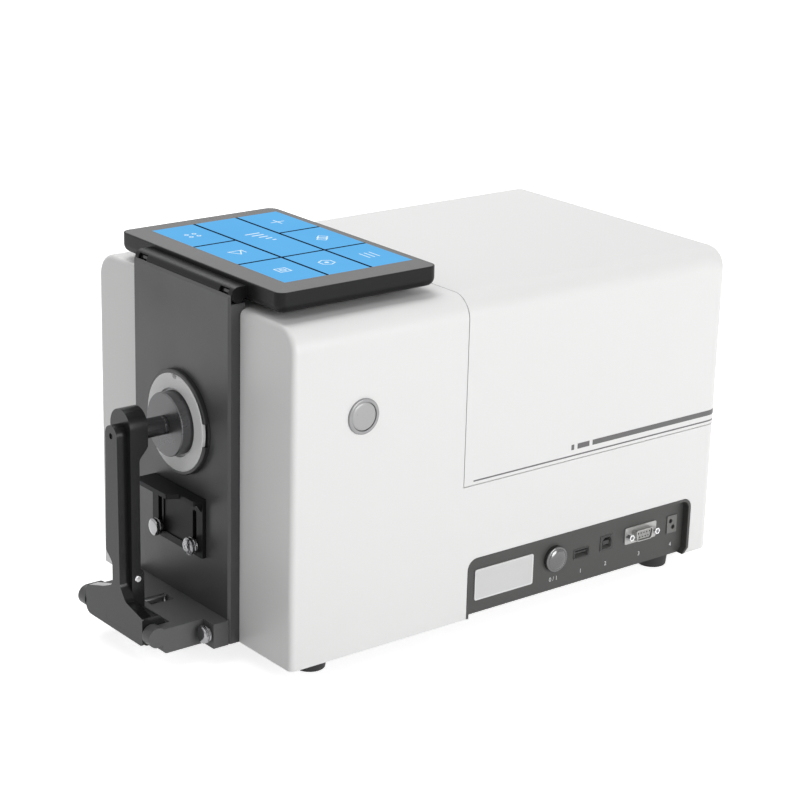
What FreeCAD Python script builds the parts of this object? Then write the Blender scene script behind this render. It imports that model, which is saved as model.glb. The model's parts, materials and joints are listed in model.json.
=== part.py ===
import FreeCAD, Part
import math
import os

from FreeCAD import Vector

# Benchtop spectrophotometer with a front measuring port, a hinged sample clamp,
# a height-set sample rest, a tilting touch display and a row of connectors.
# Frame: +X runs from the measuring port to the rear, -Y is the operator's long
# side, +Z is up, and the origin is the middle of the whole footprint at floor level.

# Driving dimensions, in millimetres

# moulded body
body_length = 380.0
body_width = 230.0
body_height = 228.0
wall = 3.0
top_edge_radius = 16.0
front_edge_radius = 4.0
rear_edge_radius = 12.0
seam_from_front = 140.0
seam_above_base = 97.0
seam_gap = 0.5
lip_depth = 5.0
lip_thickness = 2.0
boss_radius = 5.5

# feet and base
foot_height = 14.0
foot_radius = 12.0
foot_inset_x = 34.0
foot_inset_y = 26.0
base_thickness = 2.0

# general fits
moulding_gap = 0.3
running_gap = 0.05
press_gap = 0.02
slide_gap = 0.3

# measuring panel
panel_width = 113.5
panel_proud = 8.3
panel_thickness = 12.0
panel_above_body = 10.0
panel_bevel = 1.6
port_height = 139.2

# aperture set
collar_radius = 35.6
collar_proud = 4.0
collar_floor = 1.8
collar_slot_height = 16.0
collar_neck_radius = 30.6
collar_bore_radius = 26.6
ring_radius = 33.0
ring_proud = 0.6
aperture_radius = 12.7
pad_seat_radius = 23.2
pad_seat_depth = 2.0

# sample clamp
hinge_reach = 55.1
hinge_height = 12.3
hinge_pin_radius = 3.0
arm_reach = 61.3
rib_depth = 7.1
rib_half_width_top = 7.1
rib_half_width_low = 8.3
notch_depth = 7.6
post_half_width = 12.2
post_depth = 6.7
boss_depth = 13.3
pad_radius = 21.5
pad_thickness = 9.5
shaft_radius = 6.5
shaft_hollow = 8.0
bore_depth = 3.2
plunger_travel = 8.0
lug_pin_radius = 2.4

# shelf bracket
shelf_top = 17.3
ear_width = 8.6
ear_gap = 0.6
shelf_flange_depth = 11.8
shelf_plate = 5.0
ear_nose_radius = 6.9
shelf_slot_half_width = 6.0
shelf_slot_length = 17.8
shelf_slot_into_flange = 2.3
hinge_sweep = 14.4
spring_wire = 0.9
spring_turns = 5
thumb_head_radius = 6.0
thumb_head_length = 6.5
thumb_screw_inset = 5.55
thumb_screw_side_gap = 0.5
thumb_screw_height = 9.5
thumb_shank_radius = 2.0

# sample rest
rest_half_width = 30.4
rest_plate = 2.6
rest_top = 94.0
rest_bottom = 52.3
rest_slot_spread = 21.0
rest_slot_width = 4.6
rest_screw_height = 59.5
rest_travel = 22.0
ledge_thickness = 3.2
ledge_reach_short = 9.7
ledge_reach_long = 17.2

# display
display_length = 187.0
display_depth = 126.0
display_thickness = 14.0
display_from_front = 4.3
display_lift = 4.0
display_corner_radius = 7.0
display_wall = 2.5
glass_thickness = 1.2
bar_radius = 5.3
bar_back = 1.2
bar_above_body = 9.6
bar_notch_length = 10.0
bar_notch_inset = 4.0
hinge_pin_small = 1.5
knuckle_radius = 3.4

# ports panel
ports_from_front = 145.8
ports_length = 211.3
ports_height = 43.4
ports_depth = 5.5
ports_skin = 2.0
ports_corner_radius = 8.0

# buttons
measure_button_x = 54.4
measure_button_z = 163.4
measure_ring_radius = 12.0
measure_cap_radius = 9.6
measure_ring_proud = 1.6
button_travel = 1.2
power_button_x = 229.5
power_button_z = 23.7
power_ring_radius = 9.5
power_cap_radius = 7.6

# connectors, as distances from the front face and above the base
usb_a_x = 255.2
usb_a_z = 21.6
usb_b_x = 279.1
usb_b_z = 23.8
serial_x = 311.9
serial_z = 24.2
dc_x = 343.4
dc_z = 23.8
label_x = 183.3
label_z = 20.5
label_length = 52.6
label_height = 22.5

# optics and electronics inside
carrier_thickness = 6.0
carrier_inset = 2.0
carrier_top_gap = 3.0
bench_height = 30.0
bench_thickness = 6.0
bench_reach = 300.0
bench_half_width = 80.0
bench_leg_radius = 7.0
bench_leg_inset = 8.0
bench_front_leg = 60.0
bench_rear_leg = 285.0
gusset_thickness = 5.0
gusset_size = 40.0
carrier_hole_radius = 30.0
sphere_from_front = 84.0
sphere_radius = 66.0
sphere_wall = 5.0
sphere_flange_width = 5.0
sphere_flange_thickness = 4.0
sphere_front_neck = 24.0
sphere_front_port = 16.0
sphere_rear_neck = 14.0
sphere_rear_port = 8.0
sphere_rear_reach = 8.0
saddle_offset = 6.0
saddle_length = 28.0
saddle_half_width = 38.0
saddle_rise = 61.2
lamp_offset = 27.0
lamp_radius = 16.0
lamp_fin_radius = 22.0
lamp_fin_thickness = 2.0
lamp_inner_reach = 42.0
lamp_end_gap = 10.0
lamp_fins = 5
spectrometer_length = 118.0
spectrometer_half_width = 62.0
spectrometer_above_port = 34.0
spectrometer_wall = 4.0
spectrometer_lid_thickness = 2.0
board_thickness = 1.6
standoff_radius = 3.0
main_board_length = 104.0
main_board_half_width = 54.0
main_board_inset = 6.0
main_board_standoff = 8.0
power_board_from_front = 306.0
power_board_length = 58.0
power_board_half_width = 60.0
power_board_standoff = 6.0
power_part_height = 26.4
io_board_from_front = 216.0
io_board_length = 136.0
io_board_low = 8.0
io_board_height = 52.0
connector_depth = 16.0

# Positions worked out from the driving dimensions

front_x = -(body_length - arm_reach) / 2.0
rear_x = front_x + body_length
base_z = foot_height
top_z = base_z + body_height
half_width = body_width / 2.0
panel_face = front_x - panel_proud
panel_back = panel_face + panel_thickness
port_z = base_z + port_height
collar_face = panel_face - collar_proud
ring_face = collar_face - ring_proud
ring_back = panel_face - collar_floor - slide_gap
pad_back = ring_face + pad_seat_depth - slide_gap
pad_front = pad_back - pad_thickness
hinge_x = front_x - hinge_reach
hinge_z = base_z + hinge_height
arm_front = front_x - arm_reach
post_front = arm_front + rib_depth
post_back = post_front + post_depth
boss_back = post_front + boss_depth
seam_x = front_x + seam_from_front
seam_z = base_z + seam_above_base
shelf_z = base_z + shelf_top
flange_front = panel_face - shelf_flange_depth
thumb_screw_spread = panel_width / 2.0 - thumb_screw_inset
shelf_half_width = thumb_screw_spread - thumb_head_radius - thumb_screw_side_gap
foot_half_width = shelf_half_width - ear_width - ear_gap
slot_back = flange_front + shelf_slot_into_flange
spring_pitch = 1.96 * spring_wire
spring_leg_y = (spring_turns - 1) / 2.0 * spring_pitch
shaft_tail = post_front - bore_depth + plunger_travel + 1.8
bar_x = front_x - bar_back
bar_z = top_z + bar_above_body
ports_floor = -half_width + ports_depth

OUT = "parts"


# Helpers for simple solids

def box(x0, x1, y0, y1, z0, z1):
    return Part.makeBox(x1 - x0, y1 - y0, z1 - z0, Vector(x0, y0, z0))


def rod_x(x0, x1, y, z, radius):
    return Part.makeCylinder(radius, x1 - x0, Vector(x0, y, z), Vector(1, 0, 0))


def rod_y(y0, y1, x, z, radius):
    return Part.makeCylinder(radius, y1 - y0, Vector(x, y0, z), Vector(0, 1, 0))


def rod_z(z0, z1, x, y, radius):
    return Part.makeCylinder(radius, z1 - z0, Vector(x, y, z0), Vector(0, 0, 1))


def rounded_face(corners, place):
    """Face of a polygon whose corners are (a, b, radius); place turns (a, b) into a point."""
    count = len(corners)
    cuts = []
    for i in range(count):
        a, b, radius = corners[i]
        here = Vector(a, b, 0)
        back = Vector(corners[i - 1][0], corners[i - 1][1], 0) - here
        on = Vector(corners[(i + 1) % count][0], corners[(i + 1) % count][1], 0) - here
        back.normalize()
        on.normalize()
        if radius == 0:
            cuts.append((here, None, here))
            continue
        half = back.getAngle(on) / 2.0
        run = radius / math.tan(half)
        middle = back + on
        middle.normalize()
        centre = here + middle * (radius / math.sin(half))
        cuts.append((here + back * run, centre - middle * radius, here + on * run))
    edges = []
    for i in range(count):
        start, bulge, end = cuts[i]
        if bulge is not None:
            edges.append(Part.Arc(*[place(p.x, p.y) for p in (start, bulge, end)]).toShape())
        following = cuts[(i + 1) % count][0]
        if (following - end).Length > 1e-6:
            edges.append(Part.makeLine(place(end.x, end.y), place(following.x, following.y)))
    return Part.Face(Part.Wire(edges))


def prism_x(corners, x0, x1):
    face = rounded_face(corners, lambda a, b: Vector(x0, a, b))
    return face.extrude(Vector(x1 - x0, 0, 0))


def prism_y(corners, y0, y1):
    face = rounded_face(corners, lambda a, b: Vector(a, y0, b))
    return face.extrude(Vector(0, y1 - y0, 0))


def prism_z(corners, z0, z1):
    face = rounded_face(corners, lambda a, b: Vector(a, b, z0))
    return face.extrude(Vector(0, 0, z1 - z0))


def rectangle(a0, a1, b0, b1, radius):
    return [(a0, b0, radius), (a1, b0, radius), (a1, b1, radius), (a0, b1, radius)]


def edges_where(shape, test):
    """Edges whose bounding box passes the test."""
    return [edge for edge in shape.Edges if test(edge.BoundBox)]


def near(value, target):
    return abs(value - target) < 1e-4


def save(name, shapes):
    """Write one sub-part, one solid or a group of separate solids."""
    solids = shapes if isinstance(shapes, list) else [shapes]
    cleaned = [solid.removeSplitter() for solid in solids]
    shape = cleaned[0] if len(cleaned) == 1 else Part.makeCompound(cleaned)
    shape.exportStep(os.path.join(OUT, name + ".step"))


# Moulded body

def body_block(inset, drop=0.0):
    """The body's outer form, drawn in by an inset, its underside lowered by drop."""
    top = top_z - inset
    half = half_width - inset
    low = base_z - drop
    x0 = front_x + inset
    x1 = rear_x - inset
    side = top_edge_radius - inset
    section = [(-half, low, 0), (half, low, 0), (half, top, side), (-half, top, side)]
    block = prism_x(section, x0, x1)
    for end, radius in ((x0, front_edge_radius - inset), (x1, rear_edge_radius - inset)):
        if radius > 0.5:
            rim = edges_where(block, lambda b: near(b.XMin, end) and near(b.XMax, end)
                              and not near(b.ZMax, low))
            block = block.makeFillet(radius, rim)
    return block


def body_shell(outer, inner):
    """The layer between two insets, open at the bottom."""
    return body_block(outer).cut(body_block(inner, 5.0))


def rear_upper_region(shift):
    """Space of the rear top cover, with its seam faces moved towards the front and down."""
    return box(seam_x - shift, rear_x + 10, -half_width - 10, half_width + 10,
               seam_z - shift, top_z + 10)


def ports_outline(inset):
    """Outline of the ports recess in X and Z, open along the bottom edge."""
    x0 = front_x + ports_from_front + inset
    x1 = front_x + ports_from_front + ports_length - inset
    z1 = base_z + ports_height - inset
    radius = ports_corner_radius - inset
    low_cut = 5.0
    return [(x0, base_z - 1, 0), (x1 - low_cut, base_z - 1, 0), (x1, base_z - 1 + low_cut, 0),
            (x1, z1, radius), (x0, z1, radius)]


def base_screw_places():
    """Corner bosses that take the base plate's screws, two more along each side."""
    inset = wall + boss_radius - 0.8
    places = []
    for x in (front_x + inset + 4, front_x + seam_from_front - 10, rear_x - inset - 3):
        for y in (-half_width + inset, half_width - inset):
            places.append((x, y))
    return places


def cover_screw_places():
    return [(-62.0, seam_z + 9.0), (62.0, seam_z + 9.0)]


def main_housing():
    shell = body_shell(0.0, wall).cut(rear_upper_region(seam_gap))
    lip_inner = wall + lip_thickness
    ledge = body_shell(wall - 0.01, lip_inner)
    band = ledge.common(rear_upper_region(lip_depth)).cut(rear_upper_region(0.0))
    tongue = body_shell(wall + moulding_gap, lip_inner)
    tongue = tongue.common(rear_upper_region(0.5)).cut(rear_upper_region(-lip_depth))
    shell = shell.fuse([band, tongue])
    tab_low = seam_z - lip_depth
    for y, z in cover_screw_places():
        tab = box(rear_x - wall - moulding_gap - 4, rear_x - wall - moulding_gap,
                  y - 9, y + 9, tab_low, z + 7)
        shell = shell.fuse(tab).cut(rod_x(rear_x - 12, rear_x, y, z, 1.5))
    for x, y in base_screw_places():
        boss = rod_z(base_z + base_thickness, base_z + 16, x, y, boss_radius)
        shell = shell.fuse(boss).cut(rod_z(base_z, base_z + 13, x, y, 1.3))
    opening = panel_width / 2.0 + moulding_gap
    shell = shell.cut(box(front_x - 1, panel_back + moulding_gap, -opening, opening,
                          base_z - 1, top_z + 1))
    shell = shell.cut(prism_y(ports_outline(0.0), -half_width - 1, -half_width + wall + 4))
    shell = shell.cut(rod_y(-half_width - 1, -half_width + wall + 1, front_x + measure_button_x,
                            base_z + measure_button_z, measure_ring_radius - 1.5))
    vent_half = 54.0
    vents = 19
    for i in range(vents):
        y = -vent_half + 2 * vent_half * i / (vents - 1)
        slot = rectangle(y - 1.4, y + 1.4, base_z + 38, base_z + 72, 1.39)
        shell = shell.cut(prism_x(slot, rear_x - wall - 3, rear_x + 1))
    return shell


def top_cover():
    cover = body_shell(0.0, wall).common(rear_upper_region(0.0))
    for y, z in cover_screw_places():
        cover = cover.cut(rod_x(rear_x - wall - 1, rear_x + 1, y, z, 1.7))
        cover = cover.cut(rod_x(rear_x - 1.6, rear_x + 1, y, z, 3.2))
    rib_depth_in = 8.0
    for x in (seam_x + 60, seam_x + 120, seam_x + 180):
        rib = box(x - 1, x + 1, -half_width + 30, half_width - 30, top_z - wall - rib_depth_in,
                  top_z - wall + 0.5)
        cover = cover.fuse(rib)
    return cover


def cover_screws():
    screws = []
    for y, z in cover_screw_places():
        head = rod_x(rear_x - 1.6, rear_x - 0.2, y, z, 2.9)
        shank = rod_x(rear_x - 10, rear_x - 1.6, y, z, 1.4)
        socket = rod_x(rear_x - 1.1, rear_x, y, z, 1.2)
        screws.append(head.fuse(shank).cut(socket))
    return screws


def base_plate():
    inset = wall + moulding_gap
    outline = rectangle(front_x + inset + panel_thickness - panel_proud, rear_x - inset,
                        -half_width + inset, half_width - inset, rear_edge_radius - wall)
    plate = prism_z(outline, base_z, base_z + base_thickness)
    ports_x0 = front_x + ports_from_front - 3
    plate = plate.cut(box(ports_x0, ports_x0 + ports_length + 6, -half_width,
                          ports_floor + ports_skin + moulding_gap, base_z - 1, base_z + 5))
    for x, y in base_screw_places():
        plate = plate.cut(rod_z(base_z - 1, base_z + 5, x, y, 1.7))
    slots = 9
    for i in range(slots):
        x = front_x + 170 + 14 * i
        slot = rectangle(x - 1.5, x + 1.5, -30, 30, 1.49)
        plate = plate.cut(prism_z(slot, base_z - 1, base_z + 5))
    return plate


def base_screws():
    screws = []
    for x, y in base_screw_places():
        head = rod_z(base_z - 1.8, base_z, x, y, 3.0)
        shank = rod_z(base_z, base_z + 11, x, y, 1.25)
        screws.append(head.fuse(shank).cut(rod_z(base_z - 2, base_z - 0.8, x, y, 1.3)))
    return screws


def rubber_foot(x, y):
    taper = 1.5
    cone = Part.makeCone(foot_radius - taper, foot_radius, foot_height, Vector(x, y, 0))
    cone = cone.makeFillet(1.0, edges_where(cone, lambda b: near(b.ZMax, 0)))
    return cone.cut(rod_z(-1, 5, x, y, 4.2))


def foot_places():
    xs = (front_x + foot_inset_x, rear_x - foot_inset_x)
    ys = (-half_width + foot_inset_y, half_width - foot_inset_y)
    return [(x, y) for x in xs for y in ys]


# Measuring panel with its aperture set

def rest_screw_spots():
    z = base_z + rest_screw_height
    return [(-rest_slot_spread, z), (rest_slot_spread, z)]


def shelf_screw_spots():
    z = base_z + thumb_screw_height
    return [(-thumb_screw_spread, z), (thumb_screw_spread, z)]


def measuring_panel():
    half = panel_width / 2.0
    top = top_z + panel_above_body
    plate = box(panel_face, panel_back, -half, half, base_z, top)
    rim = edges_where(plate, lambda b: near(b.XMax, panel_face) and not near(b.ZMax, base_z))
    plate = plate.makeChamfer(panel_bevel, rim)
    lip = 1.5
    relief_low = bar_z - bar_radius - slide_gap
    plate = plate.cut(box(panel_face + lip, panel_back + 1, -half - 1, half + 1, relief_low, top + 1))
    plate = plate.cut(rod_x(panel_face - 1, panel_back + 1, 0, port_z, collar_neck_radius))
    for y, z in rest_screw_spots() + shelf_screw_spots():
        plate = plate.cut(rod_x(panel_face - 1, panel_back - 2, y, z, thumb_shank_radius + running_gap))
    return plate


def aperture_collar():
    """Dark collar with a spigot in the panel's bore and two finger slots at its sides."""
    spigot = rod_x(panel_face, panel_back, 0, port_z, collar_neck_radius - press_gap)
    flange = rod_x(collar_face, panel_face, 0, port_z, collar_radius)
    front_edge = edges_where(flange, lambda b: near(b.XMax, collar_face))
    flange = flange.makeChamfer(0.6, front_edge)
    collar = flange.fuse(spigot)
    collar = collar.cut(rod_x(collar_face - 1, ring_back + slide_gap, 0, port_z,
                              ring_radius + running_gap))
    collar = collar.cut(rod_x(collar_face - 1, panel_back + 1, 0, port_z, collar_bore_radius))
    half = collar_slot_height / 2.0
    for side in (-1, 1):
        y0, y1 = sorted((side * (collar_radius + 1), side * (ring_radius - 4)))
        collar = collar.cut(box(collar_face - 1, panel_face - collar_floor / 2.0, y0, y1,
                                port_z - half, port_z + half))
    return collar


def aperture_ring():
    """Light twist-in mask: flat face, seat for the pad, measuring hole flared to the rear."""
    ring = rod_x(ring_face, ring_back, 0, port_z, ring_radius)
    ring = ring.makeFillet(0.5, edges_where(ring, lambda b: near(b.XMax, ring_face)))
    neck = rod_x(ring_back, panel_back, 0, port_z, collar_bore_radius - running_gap)
    ring = ring.fuse(neck)
    seat = Part.makeCone(pad_seat_radius, pad_seat_radius - 0.5, pad_seat_depth,
                         Vector(ring_face, 0, port_z), Vector(1, 0, 0))
    ring = ring.cut(seat)
    floor = ring_face + pad_seat_depth
    land = 1.2
    ring = ring.cut(rod_x(floor - 1, floor + land + 0.1, 0, port_z, aperture_radius))
    flare = Part.makeCone(aperture_radius, collar_bore_radius - 2.4, panel_back - floor - land,
                          Vector(floor + land, 0, port_z), Vector(1, 0, 0))
    ring = ring.cut(flare)
    notch = rod_x(ring_face - 1, ring_face + 2.2, 0, port_z + ring_radius, 3.0)
    return ring.cut(notch)


def thumb_screw(tip, seat, y, z):
    """Slotted thumb screw along X: domed head with a shallow neck, seated at x = seat."""
    head_front = seat - thumb_head_length
    neck = 1.4
    head = rod_x(head_front, seat - neck, y, z, thumb_head_radius)
    head = head.makeChamfer(0.7, edges_where(head, lambda b: near(b.XMax, head_front)
                                             or near(b.XMin, seat - neck)))
    body = head.fuse(rod_x(seat - neck, seat, y, z, thumb_head_radius - 1.6))
    body = body.fuse(rod_x(seat, tip, y, z, thumb_shank_radius))
    slot = box(head_front - 1, head_front + 1.6, y - 0.7, y + 0.7, z - 10, z + 10)
    return body.cut(slot)


def sample_rest():
    """Slotted sliding plate with a stepped ledge along its top edge."""
    back = panel_face - slide_gap
    face = back - rest_plate
    half = rest_half_width
    low = base_z + rest_bottom
    high = base_z + rest_top
    plate = prism_x(rectangle(-half, half, low, high, 0.8), face, back)
    step = -9.0
    short = panel_face - ledge_reach_short
    long = panel_face - ledge_reach_long
    ledge_outline = [(back, -half, 0), (short, -half, 1.0), (short, step - 4, 1.5),
                     (long, step, 1.5), (long, half, 1.0), (back, half, 0)]
    ledge = prism_z(ledge_outline, high - ledge_thickness, high)
    rest = plate.fuse(ledge)
    for y in (-half + 3.0, half - 3.0):
        web = prism_y([(face + 0.5, high - 1, 0), (short + 1.5, high - 1, 0),
                       (face + 0.5, high - 10, 0)], y - 1.2, y + 1.2)
        rest = rest.fuse(web)
    recess = rectangle(-half + 13.5, half - 13.5, low + 5, high - 8, 1.5)
    rest = rest.cut(prism_x(recess, face - 0.1, face + 0.8))
    slot_low = base_z + rest_screw_height - rest_slot_width / 2.0 - 0.3
    slot_high = base_z + rest_screw_height + rest_travel + rest_slot_width / 2.0 + 0.3
    for y, _ in rest_screw_spots():
        slot = rectangle(y - rest_slot_width / 2, y + rest_slot_width / 2, slot_low, slot_high,
                         rest_slot_width / 2 - 0.01)
        rest = rest.cut(prism_x(slot, face - 1, back + 1))
    return rest


# Shelf bracket and sample clamp

def shelf_bracket():
    half_flange = panel_width / 2.0
    flange = prism_z(rectangle(flange_front, panel_face, -half_flange, half_flange, 0), base_z, shelf_z)
    half = shelf_half_width
    cheek_inner = half - ear_width
    profile = [(flange_front + 0.5, base_z, 0), (flange_front + 0.5, shelf_z, 0),
               (hinge_x + 4, shelf_z, 3), (hinge_x + 4, hinge_z, 0), (hinge_x + 4, base_z, 3)]
    shelf = flange
    for side in (-1, 1):
        y0, y1 = sorted((side * half, side * cheek_inner))
        cheek = prism_y(profile, y0, y1)
        nose = rod_y(y0, y1, hinge_x, hinge_z, ear_nose_radius)
        web = box(hinge_x, hinge_x + 6, y0, y1, hinge_z - ear_nose_radius + 0.5,
                  hinge_z + ear_nose_radius - 1.9)
        shelf = shelf.fuse([cheek, nose, web])
    plate_front = hinge_x + hinge_sweep
    top = box(plate_front, flange_front + 1, -half, half, shelf_z - shelf_plate, shelf_z)
    shelf = shelf.fuse(top)
    for y in (-half / 2.2, half / 2.2):
        rib = box(plate_front + 2, flange_front + 1, y - 1.5, y + 1.5, base_z + 3, shelf_z - 1)
        shelf = shelf.fuse(rib)
    slot_front = slot_back - shelf_slot_length
    slot = box(slot_front, slot_back, -shelf_slot_half_width, shelf_slot_half_width,
               shelf_z - shelf_plate - 1, shelf_z + 1)
    leg_notch = box(plate_front - 1, slot_front + 1, spring_leg_y - spring_wire - 0.4,
                    spring_leg_y + spring_wire + 0.4, shelf_z - shelf_plate - 1, shelf_z + 1)
    shelf = shelf.cut(slot).cut(leg_notch)
    pin_end = half - 2.0
    shelf = shelf.cut(rod_y(-pin_end, pin_end, hinge_x, hinge_z, hinge_pin_radius + press_gap))
    for y, z in shelf_screw_spots():
        shelf = shelf.cut(rod_x(flange_front - 1, panel_face + 1, y, z, thumb_shank_radius + running_gap))
    return shelf


def clamp_arm():
    """One casting: ribbed front plate that spreads into a foot, post, plunger boss, hinge barrel."""
    foot_low = hinge_z - 8.0
    foot_top = hinge_z + 11.4
    shoulder = hinge_z + 16.5
    rib_top = port_z + rib_half_width_top
    low = rib_half_width_low
    top = rib_half_width_top
    notch_floor = low - notch_depth
    outline = [
        (-foot_half_width, foot_low, 2.5), (foot_half_width, foot_low, 6.0),
        (foot_half_width, foot_top, 7.0), (12.0, shoulder + 2, 3.0),
        (notch_floor, shoulder + 7, 5.0), (notch_floor, shoulder + 23, 5.0),
        (low, shoulder + 29, 3.0),
        (top, rib_top, top - 0.05), (-top, rib_top, top - 0.05),
        (-low, shoulder + 9, 7.0), (-15.0, shoulder, 6.0), (-foot_half_width, foot_top, 1.5)]
    front = prism_x(outline, arm_front, post_front)
    post_top = port_z + 17.0
    half = post_half_width
    post_low = hinge_z + 6.0
    post = prism_x([(-half, post_low, 0), (half, post_low, 0), (half, post_top, half - 0.05),
                    (-half, post_top, half - 0.05)], post_front - 0.01, post_back)
    side = [(post_front, port_z + 30, 0), (post_front, port_z - 30, 0), (post_back, port_z - 30, 0),
            (post_back, port_z - 15.5, 4.0), (boss_back, port_z - 8.0, 4.5), (boss_back, port_z + 30, 0)]
    boss_round = prism_x([(-half, port_z - 30, 0), (half, port_z - 30, 0), (half, post_top, half - 0.05),
                          (-half, post_top, half - 0.05)], post_front - 0.01, boss_back + 1)
    boss = prism_y(side, -half - 1, half + 1).common(boss_round)
    lug_back = post_back + 2.6
    lug = prism_y([(post_front, hinge_z + 4, 0), (lug_back, hinge_z + 4, 0), (lug_back, hinge_z + 36, 4.5),
                   (post_front, hinge_z + 36, 0)], -half, half)
    barrel_back = hinge_x + 11.4
    barrel_top = hinge_z + 11.4
    barrel = prism_y([(arm_front + 1, foot_low, 3.0), (hinge_x + 4, foot_low, 5.0),
                      (barrel_back, hinge_z - 2, 4.0), (barrel_back, hinge_z + 6, 4.0),
                      (hinge_x + 6.5, barrel_top, 4.0), (arm_front + 1, barrel_top, 1.0)],
                     -foot_half_width, foot_half_width)
    arm = front.fuse([post, boss, lug, barrel])
    bore = hinge_pin_radius + running_gap
    arm = arm.cut(rod_y(-foot_half_width - 1, foot_half_width + 1, hinge_x, hinge_z, bore))
    window = 9.0
    coil = 7.6
    recess = rod_y(-window, window, hinge_x, hinge_z, coil)
    mouth = box(hinge_x, barrel_back + 1, -window, window, foot_low - 1, hinge_z + 7.6)
    arm = arm.cut(recess.fuse(mouth))
    arm = arm.cut(rod_x(post_front - bore_depth, boss_back + 1, 0, port_z, shaft_radius + running_gap))
    arm = arm.cut(rod_x(boss_back - 3.0, boss_back + 1, 0, port_z, shaft_radius + 2.0 + press_gap))
    arm = arm.cut(rod_x(arm_front - 1, post_front, 0, port_z, 2.0))
    arm = arm.cut(rod_y(-half - 1, half + 1, lug_back - 4.6, hinge_z + 29,
                        lug_pin_radius + press_gap))
    return arm


def hinge_pin():
    end = shelf_half_width - 2.0 - 0.2
    return rod_y(-end, end, hinge_x, hinge_z, hinge_pin_radius)


def coil_profile(turns, pitch, inner, outer):
    """Half section of a wound coil, as distance along its axis and radius."""
    valley = outer - 0.35 * pitch
    corners = [(0, inner, 0)]
    for i in range(turns):
        start = i * pitch
        corners += [(start, valley, 0), (start + 0.3 * pitch, outer, 0),
                    (start + 0.7 * pitch, outer, 0)]
    return corners + [(turns * pitch, valley, 0), (turns * pitch, inner, 0)]


def clamp_spring():
    """Torsion spring round the hinge pin, with its long leg lying in the shelf's slot."""
    inner = hinge_pin_radius + 0.5
    outer = inner + 2 * spring_wire
    start = -spring_turns * spring_pitch / 2.0
    face = rounded_face(coil_profile(spring_turns, spring_pitch, inner, outer),
                        lambda a, b: Vector(hinge_x, start + a, hinge_z + b))
    coil = face.revolve(Vector(hinge_x, 0, hinge_z), Vector(0, 1, 0), 360)
    leg_z = hinge_z + inner + spring_wire
    leg_end = slot_back - spring_wire - slide_gap
    leg = rod_x(hinge_x, leg_end, spring_leg_y, leg_z, spring_wire)
    hook = rod_z(shelf_z - shelf_plate, leg_z + spring_wire * 0.8, leg_end, spring_leg_y, spring_wire)
    return coil.fuse([leg, hook])


def plunger_bush():
    """Flanged sleeve pressed into the rear of the arm's boss."""
    outer = shaft_radius + 2.0
    sleeve = rod_x(boss_back - 3.0, boss_back, 0, port_z, outer)
    flange = rod_x(boss_back, boss_back + 2.0, 0, port_z, outer + 0.9)
    flange = flange.makeChamfer(0.5, edges_where(flange, lambda b: near(b.XMin, boss_back + 2.0)))
    bush = sleeve.fuse(flange)
    return bush.cut(rod_x(boss_back - 4, boss_back + 3, 0, port_z, shaft_radius + running_gap))


def plunger_shaft():
    shaft = rod_x(shaft_tail, pad_front, 0, port_z, shaft_radius)
    groove_x = pad_front - 3.2
    groove = rod_x(groove_x, groove_x + 0.8, 0, port_z, shaft_radius + 1)
    groove = groove.cut(rod_x(groove_x - 1, groove_x + 2, 0, port_z, shaft_radius - 0.5))
    spring_seat = rod_x(shaft_tail - 1, shaft_tail + shaft_hollow, 0, port_z, 4.6)
    return shaft.cut(groove).cut(spring_seat)


def plunger_pad():
    pad = rod_x(pad_front, pad_back, 0, port_z, pad_radius)
    pad = pad.makeFillet(0.8, edges_where(pad, lambda b: near(b.XMax, pad_front)))
    dish = Part.makeSphere(60.0, Vector(pad_back + 58.6, 0, port_z))
    return pad.cut(dish.common(rod_x(pad_back - 3, pad_back + 1, 0, port_z, pad_radius - 6)))


def plunger_spring():
    """Compression spring between the arm's blind bore and the shaft's hollow tail."""
    start = post_front - bore_depth
    end = shaft_tail + shaft_hollow
    turns = 8
    pitch = (end - start) / turns
    face = rounded_face(coil_profile(turns, pitch, 2.8, 4.2),
                        lambda a, b: Vector(start + a, 0, port_z + b))
    return face.revolve(Vector(start, 0, port_z), Vector(1, 0, 0), 360)


def arm_end_screw():
    head = rod_x(arm_front + 1.2, post_front - bore_depth, 0, port_z, 1.95)
    return head.cut(rod_x(arm_front + 1, arm_front + 2.6, 0, port_z, 1.1))


def lug_pin():
    half = post_half_width + 0.5
    x = post_back + 2.6 - 4.6
    z = hinge_z + 29
    pin = rod_y(-half, half, x, z, lug_pin_radius)
    return pin.makeChamfer(0.4, edges_where(pin, lambda b: near(b.YMin, b.YMax)))


# Display and its hinge

def display_outline(inset):
    x0 = front_x + display_from_front
    half = display_length / 2.0 - inset
    return rectangle(x0 + inset, x0 + display_depth - inset, -half, half,
                     display_corner_radius - min(inset, 3.0))


def display_heights():
    low = top_z + display_lift
    return low, low + display_thickness


def bar_notches(extra):
    """Spans along Y of the two hinge notches, widened by extra at each end."""
    outer = panel_width / 2.0 - bar_notch_inset
    inner = outer - bar_notch_length
    return [(-outer - extra, -inner + extra), (inner - extra, outer + extra)]


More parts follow.
